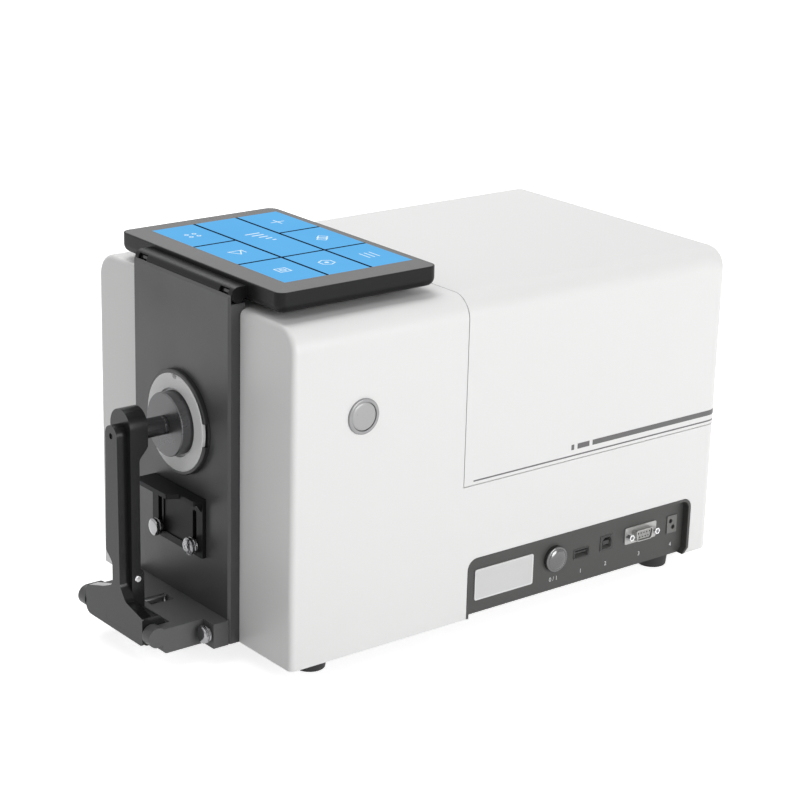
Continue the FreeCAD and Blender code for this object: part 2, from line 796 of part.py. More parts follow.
def display_frame():
    """Rear shell of the display, hollow under its glass, with the hinge bar on its front edge."""
    low, high = display_heights()
    shell = prism_z(display_outline(0.0), low, high)
    under = edges_where(shell, lambda b: near(b.ZMax, low))
    shell = shell.makeFillet(6.0, under)
    shell = shell.makeFillet(0.6, edges_where(shell, lambda b: near(b.ZMin, high)))
    glass_pocket = prism_z(display_outline(0.9), high - glass_thickness - 0.1, high + 1)
    module_pocket = prism_z(display_outline(display_wall + 5), low + display_wall, high)
    shell = shell.cut(glass_pocket.fuse(module_pocket))
    half = panel_width / 2.0
    bar = rod_y(-half, half, bar_x, bar_z, bar_radius)
    web = box(bar_x, front_x + display_from_front + 0.8, -half, half, bar_z - 2.5, bar_z + bar_radius)
    bar = bar.fuse(web)
    shell = shell.fuse(bar)
    clear = knuckle_radius + slide_gap
    for y0, y1 in bar_notches(0.0):
        shell = shell.cut(box(bar_x - 10, bar_x + clear, y0, y1, bar_z - 10, bar_z + clear))
        shell = shell.cut(rod_y(y0 - 3.5, y1 + 3.5, bar_x, bar_z, hinge_pin_small + running_gap))
    return shell


def display_glass():
    _, high = display_heights()
    return prism_z(display_outline(0.9 + 0.1), high - glass_thickness, high)


def display_module():
    low, high = display_heights()
    x0 = front_x + display_from_front
    inset_x = 11.0
    inset_y = 14.0
    outline = rectangle(x0 + inset_x, x0 + display_depth - inset_x,
                        -display_length / 2 + inset_y, display_length / 2 - inset_y, 1.0)
    return prism_z(outline, low + display_wall, high - glass_thickness)


def display_bumpers():
    low, _ = display_heights()
    x = front_x + display_from_front + display_depth - 22
    pads = []
    for y in (-60.0, 60.0):
        pad = rod_z(top_z + slide_gap, low, x, y, 6.0)
        pads.append(pad.makeFillet(0.8, edges_where(pad, lambda b: near(b.ZMax, top_z + slide_gap))))
    return pads


def hinge_ears():
    """Two ears screwed to the panel's relief, each standing in a notch of the hinge bar."""
    ears = []
    floor = bar_z - bar_radius - slide_gap
    for y0, y1 in bar_notches(-0.5):
        stem = box(bar_x - knuckle_radius, bar_x + knuckle_radius, y0, y1, floor, bar_z)
        knuckle = rod_y(y0, y1, bar_x, bar_z, knuckle_radius)
        ear = stem.fuse(knuckle)
        ears.append(ear.cut(rod_y(y0 - 1, y1 + 1, bar_x, bar_z, hinge_pin_small + press_gap)))
    return ears


def display_pins():
    return [rod_y(y0 - 3.0, y1 + 3.0, bar_x, bar_z, hinge_pin_small) for y0, y1 in bar_notches(0.0)]


# Buttons

def measure_ring():
    x = front_x + measure_button_x
    z = base_z + measure_button_z
    face = -half_width - measure_ring_proud
    flange = rod_y(face, -half_width, x, z, measure_ring_radius)
    flange = flange.makeFillet(0.9, edges_where(flange, lambda b: near(b.YMax, face)))
    barrel = rod_y(-half_width, -half_width + 14, x, z, measure_ring_radius - 1.5 - press_gap)
    nut = rod_y(-half_width + wall, -half_width + wall + 3, x, z, measure_ring_radius + 2)
    ring = flange.fuse([barrel, nut])
    return ring.cut(rod_y(face - 1, -half_width + 20, x, z, measure_cap_radius + running_gap))


def measure_cap():
    x = front_x + measure_button_x
    z = base_z + measure_button_z
    face = -half_width - measure_ring_proud + 0.1
    cap = rod_y(face, -half_width + 7, x, z, measure_cap_radius)
    cap = cap.makeFillet(0.6, edges_where(cap, lambda b: near(b.YMax, face)))
    return cap


def measure_switch():
    """Switch insert closing the rear of the button's barrel."""
    x = front_x + measure_button_x
    z = base_z + measure_button_z
    seat = -half_width + 7 + button_travel + slide_gap
    insert = rod_y(seat, -half_width + 16, x, z, measure_cap_radius - 0.2)
    back = box(x - 7, x + 7, -half_width + 16, -half_width + 24, z - 7, z + 7)
    return insert.fuse(back)


def power_ring():
    x = front_x + power_button_x
    z = base_z + power_button_z
    face = ports_floor - 3.6
    flange = rod_y(face, ports_floor, x, z, power_ring_radius)
    flange = flange.makeFillet(1.2, edges_where(flange, lambda b: near(b.YMax, face)))
    barrel = rod_y(ports_floor, ports_floor + 14, x, z, power_ring_radius - 1.2)
    return flange.fuse(barrel).cut(rod_y(face - 1, ports_floor + 20, x, z,
                                         power_cap_radius + running_gap))


def power_cap():
    x = front_x + power_button_x
    z = base_z + power_button_z
    face = ports_floor - 4.9
    cap = rod_y(face, ports_floor + 6, x, z, power_cap_radius)
    return cap.makeFillet(1.0, edges_where(cap, lambda b: near(b.YMax, face)))


def power_switch():
    x = front_x + power_button_x
    z = base_z + power_button_z
    insert = rod_y(ports_floor + 6 + button_travel + slide_gap, ports_floor + connector_depth, x, z,
                   power_cap_radius - 0.2)
    return insert.fuse(box(x - 6, x + 6, ports_floor + 16, ports_floor + 24, z - 6, z + 6))


# Ports panel and connectors

def port_cutouts():
    """Rectangles cut in the ports panel: centre x, centre z, width, height."""
    return {
        "usb_a": (front_x + usb_a_x, base_z + usb_a_z, 14.4, 7.2),
        "usb_b": (front_x + usb_b_x, base_z + usb_b_z, 12.0, 11.0),
        "serial": (front_x + serial_x, base_z + serial_z, 19.6, 11.0),
        "dc": (front_x + dc_x, base_z + dc_z, 9.6, 13.4)}


def cut_rectangle(name, grow):
    x, z, width, height = port_cutouts()[name]
    return rectangle(x - width / 2 - grow, x + width / 2 + grow,
                     z - height / 2 - grow, z + height / 2 + grow, 0)


def port_panel():
    """Dished plate: floor set back from the side wall, rim reaching out to the body's face."""
    outer = prism_y(ports_outline(moulding_gap), -half_width, ports_floor + ports_skin)
    inner = prism_y(ports_outline(moulding_gap + ports_skin), -half_width - 1, ports_floor)
    panel = outer.cut(inner)
    panel = panel.cut(box(rear_x - 400, rear_x, -half_width - 1, ports_floor + 10,
                          base_z - 2, base_z))
    flange = prism_y(ports_outline(-4.0), -half_width + wall + moulding_gap, ports_floor + ports_skin)
    flange = flange.cut(prism_y(ports_outline(moulding_gap), -half_width, ports_floor + ports_skin + 1))
    flange = flange.cut(box(rear_x - 400, rear_x, -half_width - 1, ports_floor + 10,
                            base_z - 10, base_z + base_thickness + moulding_gap))
    panel = panel.fuse(flange)
    for name in port_cutouts():
        panel = panel.cut(prism_y(cut_rectangle(name, 0.15), ports_floor - 1, ports_floor + ports_skin + 1))
    x = front_x + power_button_x
    z = base_z + power_button_z
    panel = panel.cut(rod_y(ports_floor - 1, ports_floor + 5, x, z, power_ring_radius - 1.2 + press_gap))
    for side in (-12.5, 12.5):
        x = front_x + serial_x + side
        panel = panel.cut(rod_y(ports_floor - 1, ports_floor + 5, x, base_z + serial_z, 1.6))
    return panel


def label_plate():
    x = front_x + label_x
    z = base_z + label_z
    outline = rectangle(x - label_length / 2, x + label_length / 2, z - label_height / 2,
                        z + label_height / 2, 1.6)
    return prism_y(outline, ports_floor - 0.6, ports_floor)


def usb_a_port():
    shell = prism_y(cut_rectangle("usb_a", 0.0), ports_floor - 0.6, ports_floor + connector_depth)
    shell = shell.cut(prism_y(cut_rectangle("usb_a", -0.7), ports_floor - 1, ports_floor + 13))
    x, z, width, _ = port_cutouts()["usb_a"]
    tongue = box(x - width / 2 + 1.4, x + width / 2 - 1.4, ports_floor + 1.0, ports_floor + 14, z, z + 1.8)
    return shell.fuse(tongue)


def usb_b_port():
    shell = prism_y(cut_rectangle("usb_b", 0.0), ports_floor - 0.6, ports_floor + connector_depth)
    x, z, width, height = port_cutouts()["usb_b"]
    w = width / 2 - 1.6
    h = height / 2 - 1.4
    mouth = [(x - w, z - h, 0), (x + w, z - h, 0), (x + w, z + h - 2, 0), (x + w - 2, z + h, 0),
             (x - w + 2, z + h, 0), (x - w, z + h - 2, 0)]
    shell = shell.cut(prism_y(mouth, ports_floor - 1, ports_floor + 12))
    tongue = box(x - 2.8, x + 2.8, ports_floor + 0.6, ports_floor + 13, z - 1.5, z + 1.5)
    return shell.fuse(tongue)


def serial_shape(grow, drop):
    """D-shaped outline of a nine-way connector."""
    x = front_x + serial_x
    z = base_z + serial_z
    top = 8.45 + grow
    low = 7.0 + grow
    half = 4.2 + grow
    return [(x - low + drop, z - half, 1.5), (x + low - drop, z - half, 1.5),
            (x + top, z + half, 1.5), (x - top, z + half, 1.5)]


def serial_port():
    x = front_x + serial_x
    z = base_z + serial_z
    flange = prism_y(rectangle(x - 15.4, x + 15.4, z - 6.25, z + 6.25, 1.5),
                     ports_floor - 0.8, ports_floor)
    shell = prism_y(serial_shape(0.0, 0.0), ports_floor - 5.2, ports_floor)
    well = prism_y(serial_shape(-0.6, 0.0), ports_floor - 6, ports_floor - 1.2)
    block = box(x - 9.6, x + 9.6, ports_floor, ports_floor + 12, z - 5.4, z + 5.4)
    port = flange.fuse(shell).cut(well).fuse(block)
    insert = prism_y(serial_shape(-1.1, 0.0), ports_floor - 4.2, ports_floor - 0.5)
    port = port.fuse(insert)
    for row, count in ((1.42, 5), (-1.42, 4)):
        for i in range(count):
            px = x + (i - (count - 1) / 2.0) * 2.77
            port = port.cut(rod_y(ports_floor - 5, ports_floor - 2.4, px, z + row, 0.55))
    for side in (-12.5, 12.5):
        port = port.cut(rod_y(ports_floor - 2, ports_floor + 1, x + side, z, 1.52))
    return port


def serial_jackscrews():
    screws = []
    z = base_z + serial_z
    for side in (-12.5, 12.5):
        x = front_x + serial_x + side
        corners = [(x + 2.6 * math.cos(math.radians(60 * i)), z + 2.6 * math.sin(math.radians(60 * i)), 0)
                   for i in range(6)]
        head = prism_y(corners, ports_floor - 5.4, ports_floor - 0.8)
        shank = rod_y(ports_floor - 0.8, ports_floor + 6, x, z, 1.5)
        screws.append(head.fuse(shank).cut(rod_y(ports_floor - 6, ports_floor - 2, x, z, 1.3)))
    return screws


def dc_inlet():
    body = prism_y(cut_rectangle("dc", 0.0), ports_floor - 0.7, ports_floor + 14)
    x, z, _, _ = port_cutouts()["dc"]
    for dx, dz in ((-1.3, 2.4), (1.3, -2.4)):
        body = body.cut(rod_y(ports_floor - 2, ports_floor + 9, x + dx, z + dz, 1.7))
    return body


def io_board():
    x0 = front_x + io_board_from_front
    y0 = ports_floor + connector_depth
    z0 = base_z + io_board_low
    board = box(x0, x0 + io_board_length, y0, y0 + board_thickness, z0, z0 + io_board_height)
    return board.cut(rod_y(y0 - 1, y0 + board_thickness + 1, front_x + power_button_x,
                           base_z + power_button_z, power_ring_radius))


# Inner works

bench_z = base_z + bench_height
bench_top = bench_z + bench_thickness
sphere_x = front_x + sphere_from_front
spectrometer_x = sphere_x + sphere_radius + sphere_rear_reach
spectrometer_top = port_z + spectrometer_above_port


def optical_frame():
    """Cast carrier: vertical face plate behind the panel, level bench and its feet."""
    x0 = panel_back
    x1 = x0 + carrier_thickness
    face_half = panel_width / 2.0 - carrier_inset
    floor = base_z + base_thickness
    face = box(x0, x1, -face_half, face_half, floor, top_z - wall - carrier_top_gap)
    bench = box(x0, front_x + bench_reach, -bench_half_width, bench_half_width, bench_z, bench_top)
    frame = face.fuse(bench)
    leg_y = bench_half_width - bench_leg_inset
    for x in (front_x + bench_front_leg, front_x + bench_rear_leg):
        for y in (-leg_y, leg_y):
            frame = frame.fuse(rod_z(floor, bench_z + 1, x, y, bench_leg_radius))
    for side in (-1, 1):
        y0, y1 = sorted((side * face_half, side * (face_half - gusset_thickness)))
        gusset = prism_y([(x1 - 1, bench_top - 1, 0), (x1 + gusset_size, bench_top - 1, 0),
                          (x1 - 1, bench_top + gusset_size, 0)], y0, y1)
        frame = frame.fuse(gusset)
    return frame.cut(rod_x(x0 - 1, x1 + 1, 0, port_z, carrier_hole_radius))


def sphere_ball(radius):
    return Part.makeSphere(radius, Vector(sphere_x, 0, port_z))


def sphere_half(front):
    """Half of the integrating sphere, with its joint flange and the port neck on its outer side."""
    inner = sphere_ball(sphere_radius - sphere_wall)
    shell = sphere_ball(sphere_radius).cut(inner)
    flange_radius = sphere_radius + sphere_flange_width
    reach = flange_radius + 1
    if front:
        end = panel_back + slide_gap
        flange = rod_x(sphere_x - sphere_flange_thickness, sphere_x, 0, port_z, flange_radius)
        neck = rod_x(end, sphere_x - sphere_radius + 2 * sphere_wall, 0, port_z, sphere_front_neck)
        keep = box(end, sphere_x, -reach, reach, port_z - reach, port_z + reach)
        half = shell.fuse([flange, neck]).common(keep).cut(inner)
        return half.cut(rod_x(end - 1, sphere_x, 0, port_z, sphere_front_port))
    end = spectrometer_x
    flange = rod_x(sphere_x, sphere_x + sphere_flange_thickness, 0, port_z, flange_radius)
    neck = rod_x(end - 4 * sphere_wall, end, 0, port_z, sphere_rear_neck)
    keep = box(sphere_x, end, -reach, reach, port_z - reach, port_z + reach)
    half = shell.fuse([flange, neck]).common(keep).cut(inner)
    return half.cut(rod_x(sphere_x, end + 1, 0, port_z, sphere_rear_port))


def sphere_saddle():
    """Cradle between the bench and the sphere."""
    x0 = sphere_x + saddle_offset
    block = box(x0, x0 + saddle_length, -saddle_half_width, saddle_half_width, bench_top,
                bench_top + saddle_rise)
    return block.cut(sphere_ball(sphere_radius + running_gap))


def lamp_module():
    """Finned lamp housing on the far side of the sphere."""
    x = sphere_x + lamp_offset
    end = half_width - wall - lamp_end_gap
    first_fin = sphere_radius + sphere_flange_width + 3.0
    pitch = (end - first_fin) / (lamp_fins + 0.4)
    body = rod_y(lamp_inner_reach, end, x, port_z, lamp_radius)
    for i in range(lamp_fins):
        fin = first_fin + pitch * i
        body = body.fuse(rod_y(fin, fin + lamp_fin_thickness, x, port_z, lamp_fin_radius))
    return body.cut(sphere_ball(sphere_radius + running_gap))


def spectrometer_module():
    x0 = spectrometer_x
    x1 = x0 + spectrometer_length
    half = spectrometer_half_width
    w = spectrometer_wall
    case = box(x0, x1, -half, half, bench_top, spectrometer_top)
    case = case.cut(box(x0 + w, x1 - w, w - half, half - w, bench_top + w, spectrometer_top + 1))
    return case.cut(rod_x(x0 - 1, x0 + w + 1, 0, port_z, sphere_rear_port))


def spectrometer_lid():
    x0 = spectrometer_x
    x1 = x0 + spectrometer_length
    half = spectrometer_half_width
    top = spectrometer_top
    lid = box(x0, x1, -half, half, top, top + spectrometer_lid_thickness)
    in_gap = spectrometer_wall + slide_gap
    step = box(x0 + in_gap, x1 - in_gap, in_gap - half, half - in_gap, top - 3, top)
    return lid.fuse(step)


def circuit_board(x0, length, half, z0, standoff, inset):
    """Board on four standoffs; its underside is at z0 plus the standoff height."""
    z1 = z0 + standoff
    board = box(x0, x0 + length, -half, half, z1, z1 + board_thickness)
    for x in (x0 + inset, x0 + length - inset):
        for y in (inset - half, half - inset):
            board = board.fuse(rod_z(z0, z1, x, y, standoff_radius))
    return board


def main_board():
    """Controller board on top of the spectrometer."""
    x0 = spectrometer_x + main_board_inset
    z0 = spectrometer_top + spectrometer_lid_thickness
    board = circuit_board(x0, main_board_length, main_board_half_width, z0, main_board_standoff,
                          main_board_inset)
    top = z0 + main_board_standoff + board_thickness
    for along, across, size in ((0.29, -0.37, 0.21), (0.67, 0.33, 0.15), (0.44, 0.59, 0.12)):
        x = x0 + along * main_board_length
        y = across * main_board_half_width
        half = size * main_board_length / 2.0
        board = board.fuse(box(x, x + 2 * half, y - half, y + half, top, top + 2 * board_thickness))
    return board


def power_board():
    """Supply board behind the optics, with a transformer block and a round capacitor."""
    x0 = front_x + power_board_from_front
    z0 = base_z + base_thickness
    board = circuit_board(x0, power_board_length, power_board_half_width, z0, power_board_standoff,
                          main_board_inset)
    top = z0 + power_board_standoff + board_thickness
    board = board.fuse(box(x0 + 0.2 * power_board_length, x0 + 0.8 * power_board_length,
                           -0.57 * power_board_half_width, 0, top, top + power_part_height))
    return board.fuse(rod_z(top, top + power_part_height, x0 + 0.5 * power_board_length,
                            0.43 * power_board_half_width, 10))


def build():
    os.makedirs(OUT, exist_ok=True)
    save("main_housing", main_housing())
    save("top_cover", top_cover())
    save("cover_screws", cover_screws())
    save("base_plate", base_plate())
    save("base_screws", base_screws())
    for number, (x, y) in enumerate(foot_places(), 1):
        save("rubber_foot_%d" % number, rubber_foot(x, y))
    save("measuring_panel", measuring_panel())
    save("aperture_collar", aperture_collar())
    save("aperture_ring", aperture_ring())
    save("sample_rest", sample_rest())
    rest_face = panel_face - slide_gap - rest_plate
    for name, (y, z) in zip(("near", "far"), rest_screw_spots()):
        save("rest_screw_" + name, thumb_screw(panel_back - 4, rest_face - 0.3, y, z))
    save("shelf_bracket", shelf_bracket())
    for name, (y, z) in zip(("near", "far"), shelf_screw_spots()):
        save("shelf_screw_" + name, thumb_screw(panel_back - 4, flange_front - 0.3, y, z))
    save("clamp_arm", clamp_arm())
    save("clamp_hinge_pin", hinge_pin())
    save("clamp_spring", clamp_spring())
    save("plunger_bush", plunger_bush())
    save("plunger_shaft", plunger_shaft())
    save("plunger_pad", plunger_pad())
    save("plunger_spring", plunger_spring())
    save("arm_end_screw", arm_end_screw())
    save("lug_pin", lug_pin())
    save("display_frame", display_frame())
    save("display_glass", display_glass())
    save("display_module", display_module())
    save("display_bumpers", display_bumpers())
    save("display_hinge_ears", hinge_ears())
    save("display_hinge_pins", display_pins())
    save("measure_button_ring", measure_ring())
    save("measure_button_cap", measure_cap())
    save("measure_switch", measure_switch())
    save("power_button_ring", power_ring())
    save("power_button_cap", power_cap())
    save("power_switch", power_switch())
    save("port_panel", port_panel())
    save("label_plate", label_plate())
    save("usb_a_port", usb_a_port())
    save("usb_b_port", usb_b_port())
    save("serial_port", serial_port())
    save("serial_jackscrews", serial_jackscrews())
    save("dc_inlet", dc_inlet())
    save("io_board", io_board())
    save("optical_frame", optical_frame())
    save("sphere_front_half", sphere_half(True))
    save("sphere_rear_half", sphere_half(False))
    save("sphere_saddle", sphere_saddle())
    save("lamp_module", lamp_module())
    save("spectrometer_module", spectrometer_module())
    save("spectrometer_lid", spectrometer_lid())
    save("main_board", main_board())
    save("power_board", power_board())


build()
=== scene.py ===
import json
import math

import bpy
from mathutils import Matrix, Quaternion, Vector

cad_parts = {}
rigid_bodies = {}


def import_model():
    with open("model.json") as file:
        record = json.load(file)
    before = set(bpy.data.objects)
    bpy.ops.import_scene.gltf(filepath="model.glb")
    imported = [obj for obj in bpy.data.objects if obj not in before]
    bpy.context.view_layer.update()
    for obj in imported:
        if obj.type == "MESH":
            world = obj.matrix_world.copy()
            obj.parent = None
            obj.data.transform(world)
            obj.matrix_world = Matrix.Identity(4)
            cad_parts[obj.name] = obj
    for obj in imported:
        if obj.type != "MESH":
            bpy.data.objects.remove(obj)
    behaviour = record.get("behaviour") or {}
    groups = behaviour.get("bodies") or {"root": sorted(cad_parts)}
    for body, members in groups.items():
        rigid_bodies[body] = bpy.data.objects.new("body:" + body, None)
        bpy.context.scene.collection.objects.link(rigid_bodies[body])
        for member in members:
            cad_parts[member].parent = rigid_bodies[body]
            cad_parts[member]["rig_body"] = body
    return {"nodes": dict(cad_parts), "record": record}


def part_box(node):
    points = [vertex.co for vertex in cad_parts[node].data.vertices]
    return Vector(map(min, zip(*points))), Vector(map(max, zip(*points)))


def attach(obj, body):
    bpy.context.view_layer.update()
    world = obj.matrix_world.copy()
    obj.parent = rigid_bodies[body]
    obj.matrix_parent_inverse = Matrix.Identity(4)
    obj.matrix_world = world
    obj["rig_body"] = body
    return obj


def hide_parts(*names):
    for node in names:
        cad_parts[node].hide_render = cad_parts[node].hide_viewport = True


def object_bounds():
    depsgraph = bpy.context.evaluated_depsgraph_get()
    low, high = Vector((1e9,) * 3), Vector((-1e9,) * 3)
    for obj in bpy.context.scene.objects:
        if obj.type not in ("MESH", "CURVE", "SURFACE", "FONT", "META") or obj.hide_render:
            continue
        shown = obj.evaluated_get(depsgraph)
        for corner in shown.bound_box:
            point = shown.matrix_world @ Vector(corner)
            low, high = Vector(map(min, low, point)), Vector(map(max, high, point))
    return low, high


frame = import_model()
cad_low, cad_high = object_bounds()
nodes = frame["nodes"]
mm = 0.001
smooth_angle = math.radians(32)
merge_distance = 0.005 * mm
round_sides = 64


# Base plate and its screws
# A pressed steel tray, powder coated charcoal, that closes the housing from below.
# Six pan head screws with cross recesses hold it to the housing's bosses.

def select_only(piece):
    """Leave one object selected and active."""
    bpy.ops.object.select_all(action="DESELECT")
    piece.select_set(True)
    bpy.context.view_layer.objects.active = piece


def new_socket(group, name, way, kind="NodeSocketFloat"):
    group.interface.new_socket(name, in_out=way, socket_type=kind)


def surface_detail_group():
    """Fine grain for the bump and broad soft patches for tone and gloss, both from a position."""
    group = bpy.data.node_groups.new("surface_detail", "ShaderNodeTree")
    new_socket(group, "Vector", "INPUT", "NodeSocketVector")
    new_socket(group, "Grain Scale", "INPUT")
    new_socket(group, "Patch Scale", "INPUT")
    new_socket(group, "Grain", "OUTPUT")
    new_socket(group, "Patches", "OUTPUT")
    made = group.nodes
    start = made.new("NodeGroupInput")
    end = made.new("NodeGroupOutput")
    grain = made.new("ShaderNodeTexNoise")
    grain.inputs["Detail"].default_value = 3.0
    patches = made.new("ShaderNodeTexNoise")
    patches.inputs["Detail"].default_value = 5.0
    patches.inputs["Roughness"].default_value = 0.6
    for noise, scale in ((grain, "Grain Scale"), (patches, "Patch Scale")):
        group.links.new(start.outputs["Vector"], noise.inputs["Vector"])
        group.links.new(start.outputs[scale], noise.inputs["Scale"])
    group.links.new(grain.outputs["Fac"], end.inputs["Grain"])
    group.links.new(patches.outputs["Fac"], end.inputs["Patches"])
    return group


surface_detail = surface_detail_group()


def new_finish(name, colour, roughness, metallic=0.0, grain_scale=1400.0, grain_depth=0.01,
               patch_scale=16.0, tone_change=0.05, gloss_change=0.06, specular=0.5):
    """A finish whose tone, gloss and fine relief vary over the surface; depth is in millimetres."""
    finish = bpy.data.materials.new(name)
    finish.use_nodes = True
    made = finish.node_tree.nodes
    join = finish.node_tree.links.new
    shader = made["Principled BSDF"]
    shader.inputs["Metallic"].default_value = metallic
    shader.inputs["Specular IOR Level"].default_value = specular
    place = made.new("ShaderNodeTexCoord")
    detail = made.new("ShaderNodeGroup")
    detail.name = "detail"
    detail.node_tree = surface_detail
    detail.inputs["Grain Scale"].default_value = grain_scale
    detail.inputs["Patch Scale"].default_value = patch_scale
    tone = made.new("ShaderNodeMix")
    tone.name = "tone"
    tone.data_type = "RGBA"
    tone.inputs["A"].default_value = [c * (1 - tone_change) for c in colour] + [1.0]
    tone.inputs["B"].default_value = [c * (1 + tone_change) for c in colour] + [1.0]
    gloss = made.new("ShaderNodeMapRange")
    gloss.inputs["From Min"].default_value = 0.3
    gloss.inputs["From Max"].default_value = 0.7
    gloss.inputs["To Min"].default_value = max(0.02, roughness - gloss_change)
    gloss.inputs["To Max"].default_value = roughness + gloss_change
    relief = made.new("ShaderNodeBump")
    relief.inputs["Strength"].default_value = 1.0
    relief.inputs["Distance"].default_value = grain_depth * mm
    join(place.outputs["Object"], detail.inputs["Vector"])
    join(detail.outputs["Patches"], tone.inputs["Factor"])
    join(detail.outputs["Patches"], gloss.inputs["Value"])
    join(detail.outputs["Grain"], relief.inputs["Height"])
    join(tone.outputs["Result"], shader.inputs["Base Color"])
    join(gloss.outputs["Result"], shader.inputs["Roughness"])
    join(relief.outputs["Normal"], shader.inputs["Normal"])
    return finish


def slot_of(node):
    """The record's finish slot of a sub-part."""
    return next(row["material_slot"] for row in frame["record"]["subparts"] if row["node"] == node)


def round_and_smooth(piece, edge):
    """Round the sharp edges by a width in millimetres, then shade the curved faces smoothly."""
    select_only(piece)
    if edge > 0:
        rounding = piece.modifiers.new("edge", "BEVEL")
        rounding.width = edge * mm
        rounding.segments = 2
        rounding.limit_method = "ANGLE"
        rounding.angle_limit = math.radians(35)
        bpy.ops.object.modifier_apply(modifier=rounding.name)
    bpy.ops.object.shade_smooth_by_angle(angle=smooth_angle)
    flats = piece.modifiers.new("flats", "WEIGHTED_NORMAL")
    flats.keep_sharp = True
    bpy.ops.object.modifier_apply(modifier=flats.name)


def finished_copy(node, finish, edge):
    """A copy of a packed sub-part, its points merged and its edges rounded, shown in its place."""
    source = nodes[node]
    piece = bpy.data.objects.new(node + "_finished", source.data.copy())
    bpy.context.scene.collection.objects.link(piece)
    piece.data.materials.clear()
    piece.data.materials.append(finish)
    select_only(piece)
    bpy.ops.object.mode_set(mode="EDIT")
    bpy.ops.mesh.select_all(action="SELECT")
    bpy.ops.mesh.remove_doubles(threshold=merge_distance)
    bpy.ops.mesh.dissolve_limited(angle_limit=math.radians(0.4))
    bpy.ops.object.mode_set(mode="OBJECT")
    round_and_smooth(piece, edge)
    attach(piece, source["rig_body"])
    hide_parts(node)
    return piece


charcoal_coat = new_finish("charcoal_powder_coat", (0.062, 0.062, 0.063), 0.42, grain_scale=1600.0,
                           grain_depth=0.02, tone_change=0.1, gloss_change=0.07)
zinc_steel = new_finish("zinc_plated_steel", (0.62, 0.62, 0.63), 0.3, metallic=1.0,
                        grain_scale=2600.0, grain_depth=0.003, patch_scale=300.0, tone_change=0.08)
finished_copy("base_plate", charcoal_coat, 0.0)
finished_copy("base_screws", zinc_steel, 0.15)


# Rubber feet
# Four matt black moulded feet, each held by a pan head screw deep in its recess.

def turned(name, axis, centre, profile, sides=round_sides):
    """A closed turned piece: profile lists (place along the axis, radius) in metres, end to end."""
    way = Vector((float(axis == "X"), float(axis == "Y"), float(axis == "Z")))
    turn = {"X": (0, math.pi / 2, 0), "Y": (-math.pi / 2, 0, 0), "Z": (0, 0, 0)}[axis]
    centre = Vector(centre)
    place, radius = profile[0]
    spot = centre + way * (place - centre.dot(way))
    bpy.ops.object.select_all(action="DESELECT")
    bpy.ops.mesh.primitive_circle_add(vertices=sides, radius=radius, fill_type="NGON",
                                      location=spot, rotation=turn)
    piece = bpy.context.object
    piece.name = name
    bpy.ops.object.transform_apply(location=True, rotation=True, scale=True)
    bpy.ops.object.mode_set(mode="EDIT")
    bpy.ops.mesh.select_all(action="SELECT")
    for next_place, next_radius in profile[1:]:
        bpy.ops.mesh.extrude_region_move(TRANSFORM_OT_translate={"value": way * (next_place - place)})
        spot = spot + way * (next_place - place)
        size = next_radius / radius
        if abs(size - 1.0) > 1e-6:
            bpy.ops.transform.resize(value=(size, size, size), center_override=spot)
        place, radius = next_place, next_radius
    bpy.ops.mesh.select_all(action="SELECT")
    bpy.ops.mesh.normals_make_consistent(inside=False)
    bpy.ops.object.mode_set(mode="OBJECT")
    return piece


def show_as(piece, finish, body, slot, *stands_for):
    """Give a finished piece its material and its body; the slot argument is not used."""
    piece.data.materials.clear()
    piece.data.materials.append(finish)
    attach(piece, body)
    if stands_for:
        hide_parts(*stands_for)


black_rubber = new_finish("black_rubber", (0.018, 0.018, 0.018), 0.62, grain_scale=900.0,
                          grain_depth=0.03, tone_change=0.2)
for number in range(1, 5):
    foot = "rubber_foot_{}".format(number)
    finished_copy(foot, black_rubber, 0.0)
    foot_low, foot_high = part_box(foot)
    middle = (foot_low + foot_high) / 2
    floor_of_recess = foot_low.z + 5 * mm
    head = turned("foot_screw_{}".format(number), "Z", middle,
                  [(floor_of_recess - 2.2 * mm, 1.5 * mm), (floor_of_recess - 2.0 * mm, 2.6 * mm),
                   (floor_of_recess - 1.2 * mm, 3.3 * mm), (floor_of_recess, 3.4 * mm)], 32)
    round_and_smooth(head, 0.0)
    show_as(head, zinc_steel, "instrument", "silver")


# Optical frame, integrating sphere, lamp and spectrometer
# Cast and machined alloy parts: a carrier behind the measuring panel, the sphere's two halves on
# their saddle, the finned lamp housing, and the spectrometer's case with its lid.

cast_alloy = new_finish("cast_alloy", (0.52, 0.52, 0.53), 0.48, metallic=0.85, grain_scale=700.0,
                        grain_depth=0.05, patch_scale=40.0, tone_change=0.12)
for node in ("optical_frame", "sphere_front_half", "sphere_rear_half", "sphere_saddle",
             "lamp_module", "spectrometer_module", "spectrometer_lid"):
    nodes[node].material_slots[0].material = cast_alloy


# Circuit boards and switches
# Green solder mask over fine tracks; the switches are dark moulded blocks.

def board_finish():
    """Solder mask with a weave of slightly lighter tracks under it."""
    finish = new_finish("solder_mask", (0.012, 0.11, 0.045), 0.3, grain_scale=500.0,
                        grain_depth=0.02, patch_scale=30.0)
    made = finish.node_tree.nodes
    join = finish.node_tree.links.new
    tracks = made.new("ShaderNodeTexBrick")
    tracks.inputs["Scale"].default_value = 160.0
    tracks.inputs["Mortar Size"].default_value = 0.012
    tracks.inputs["Color1"].default_value = (0.012, 0.11, 0.045, 1.0)
    tracks.inputs["Color2"].default_value = (0.014, 0.13, 0.05, 1.0)
    tracks.inputs["Mortar"].default_value = (0.05, 0.24, 0.09, 1.0)
    join(made["Texture Coordinate"].outputs["Object"], tracks.inputs["Vector"])
    join(tracks.outputs["Color"], made["tone"].inputs["B"])
    return finish


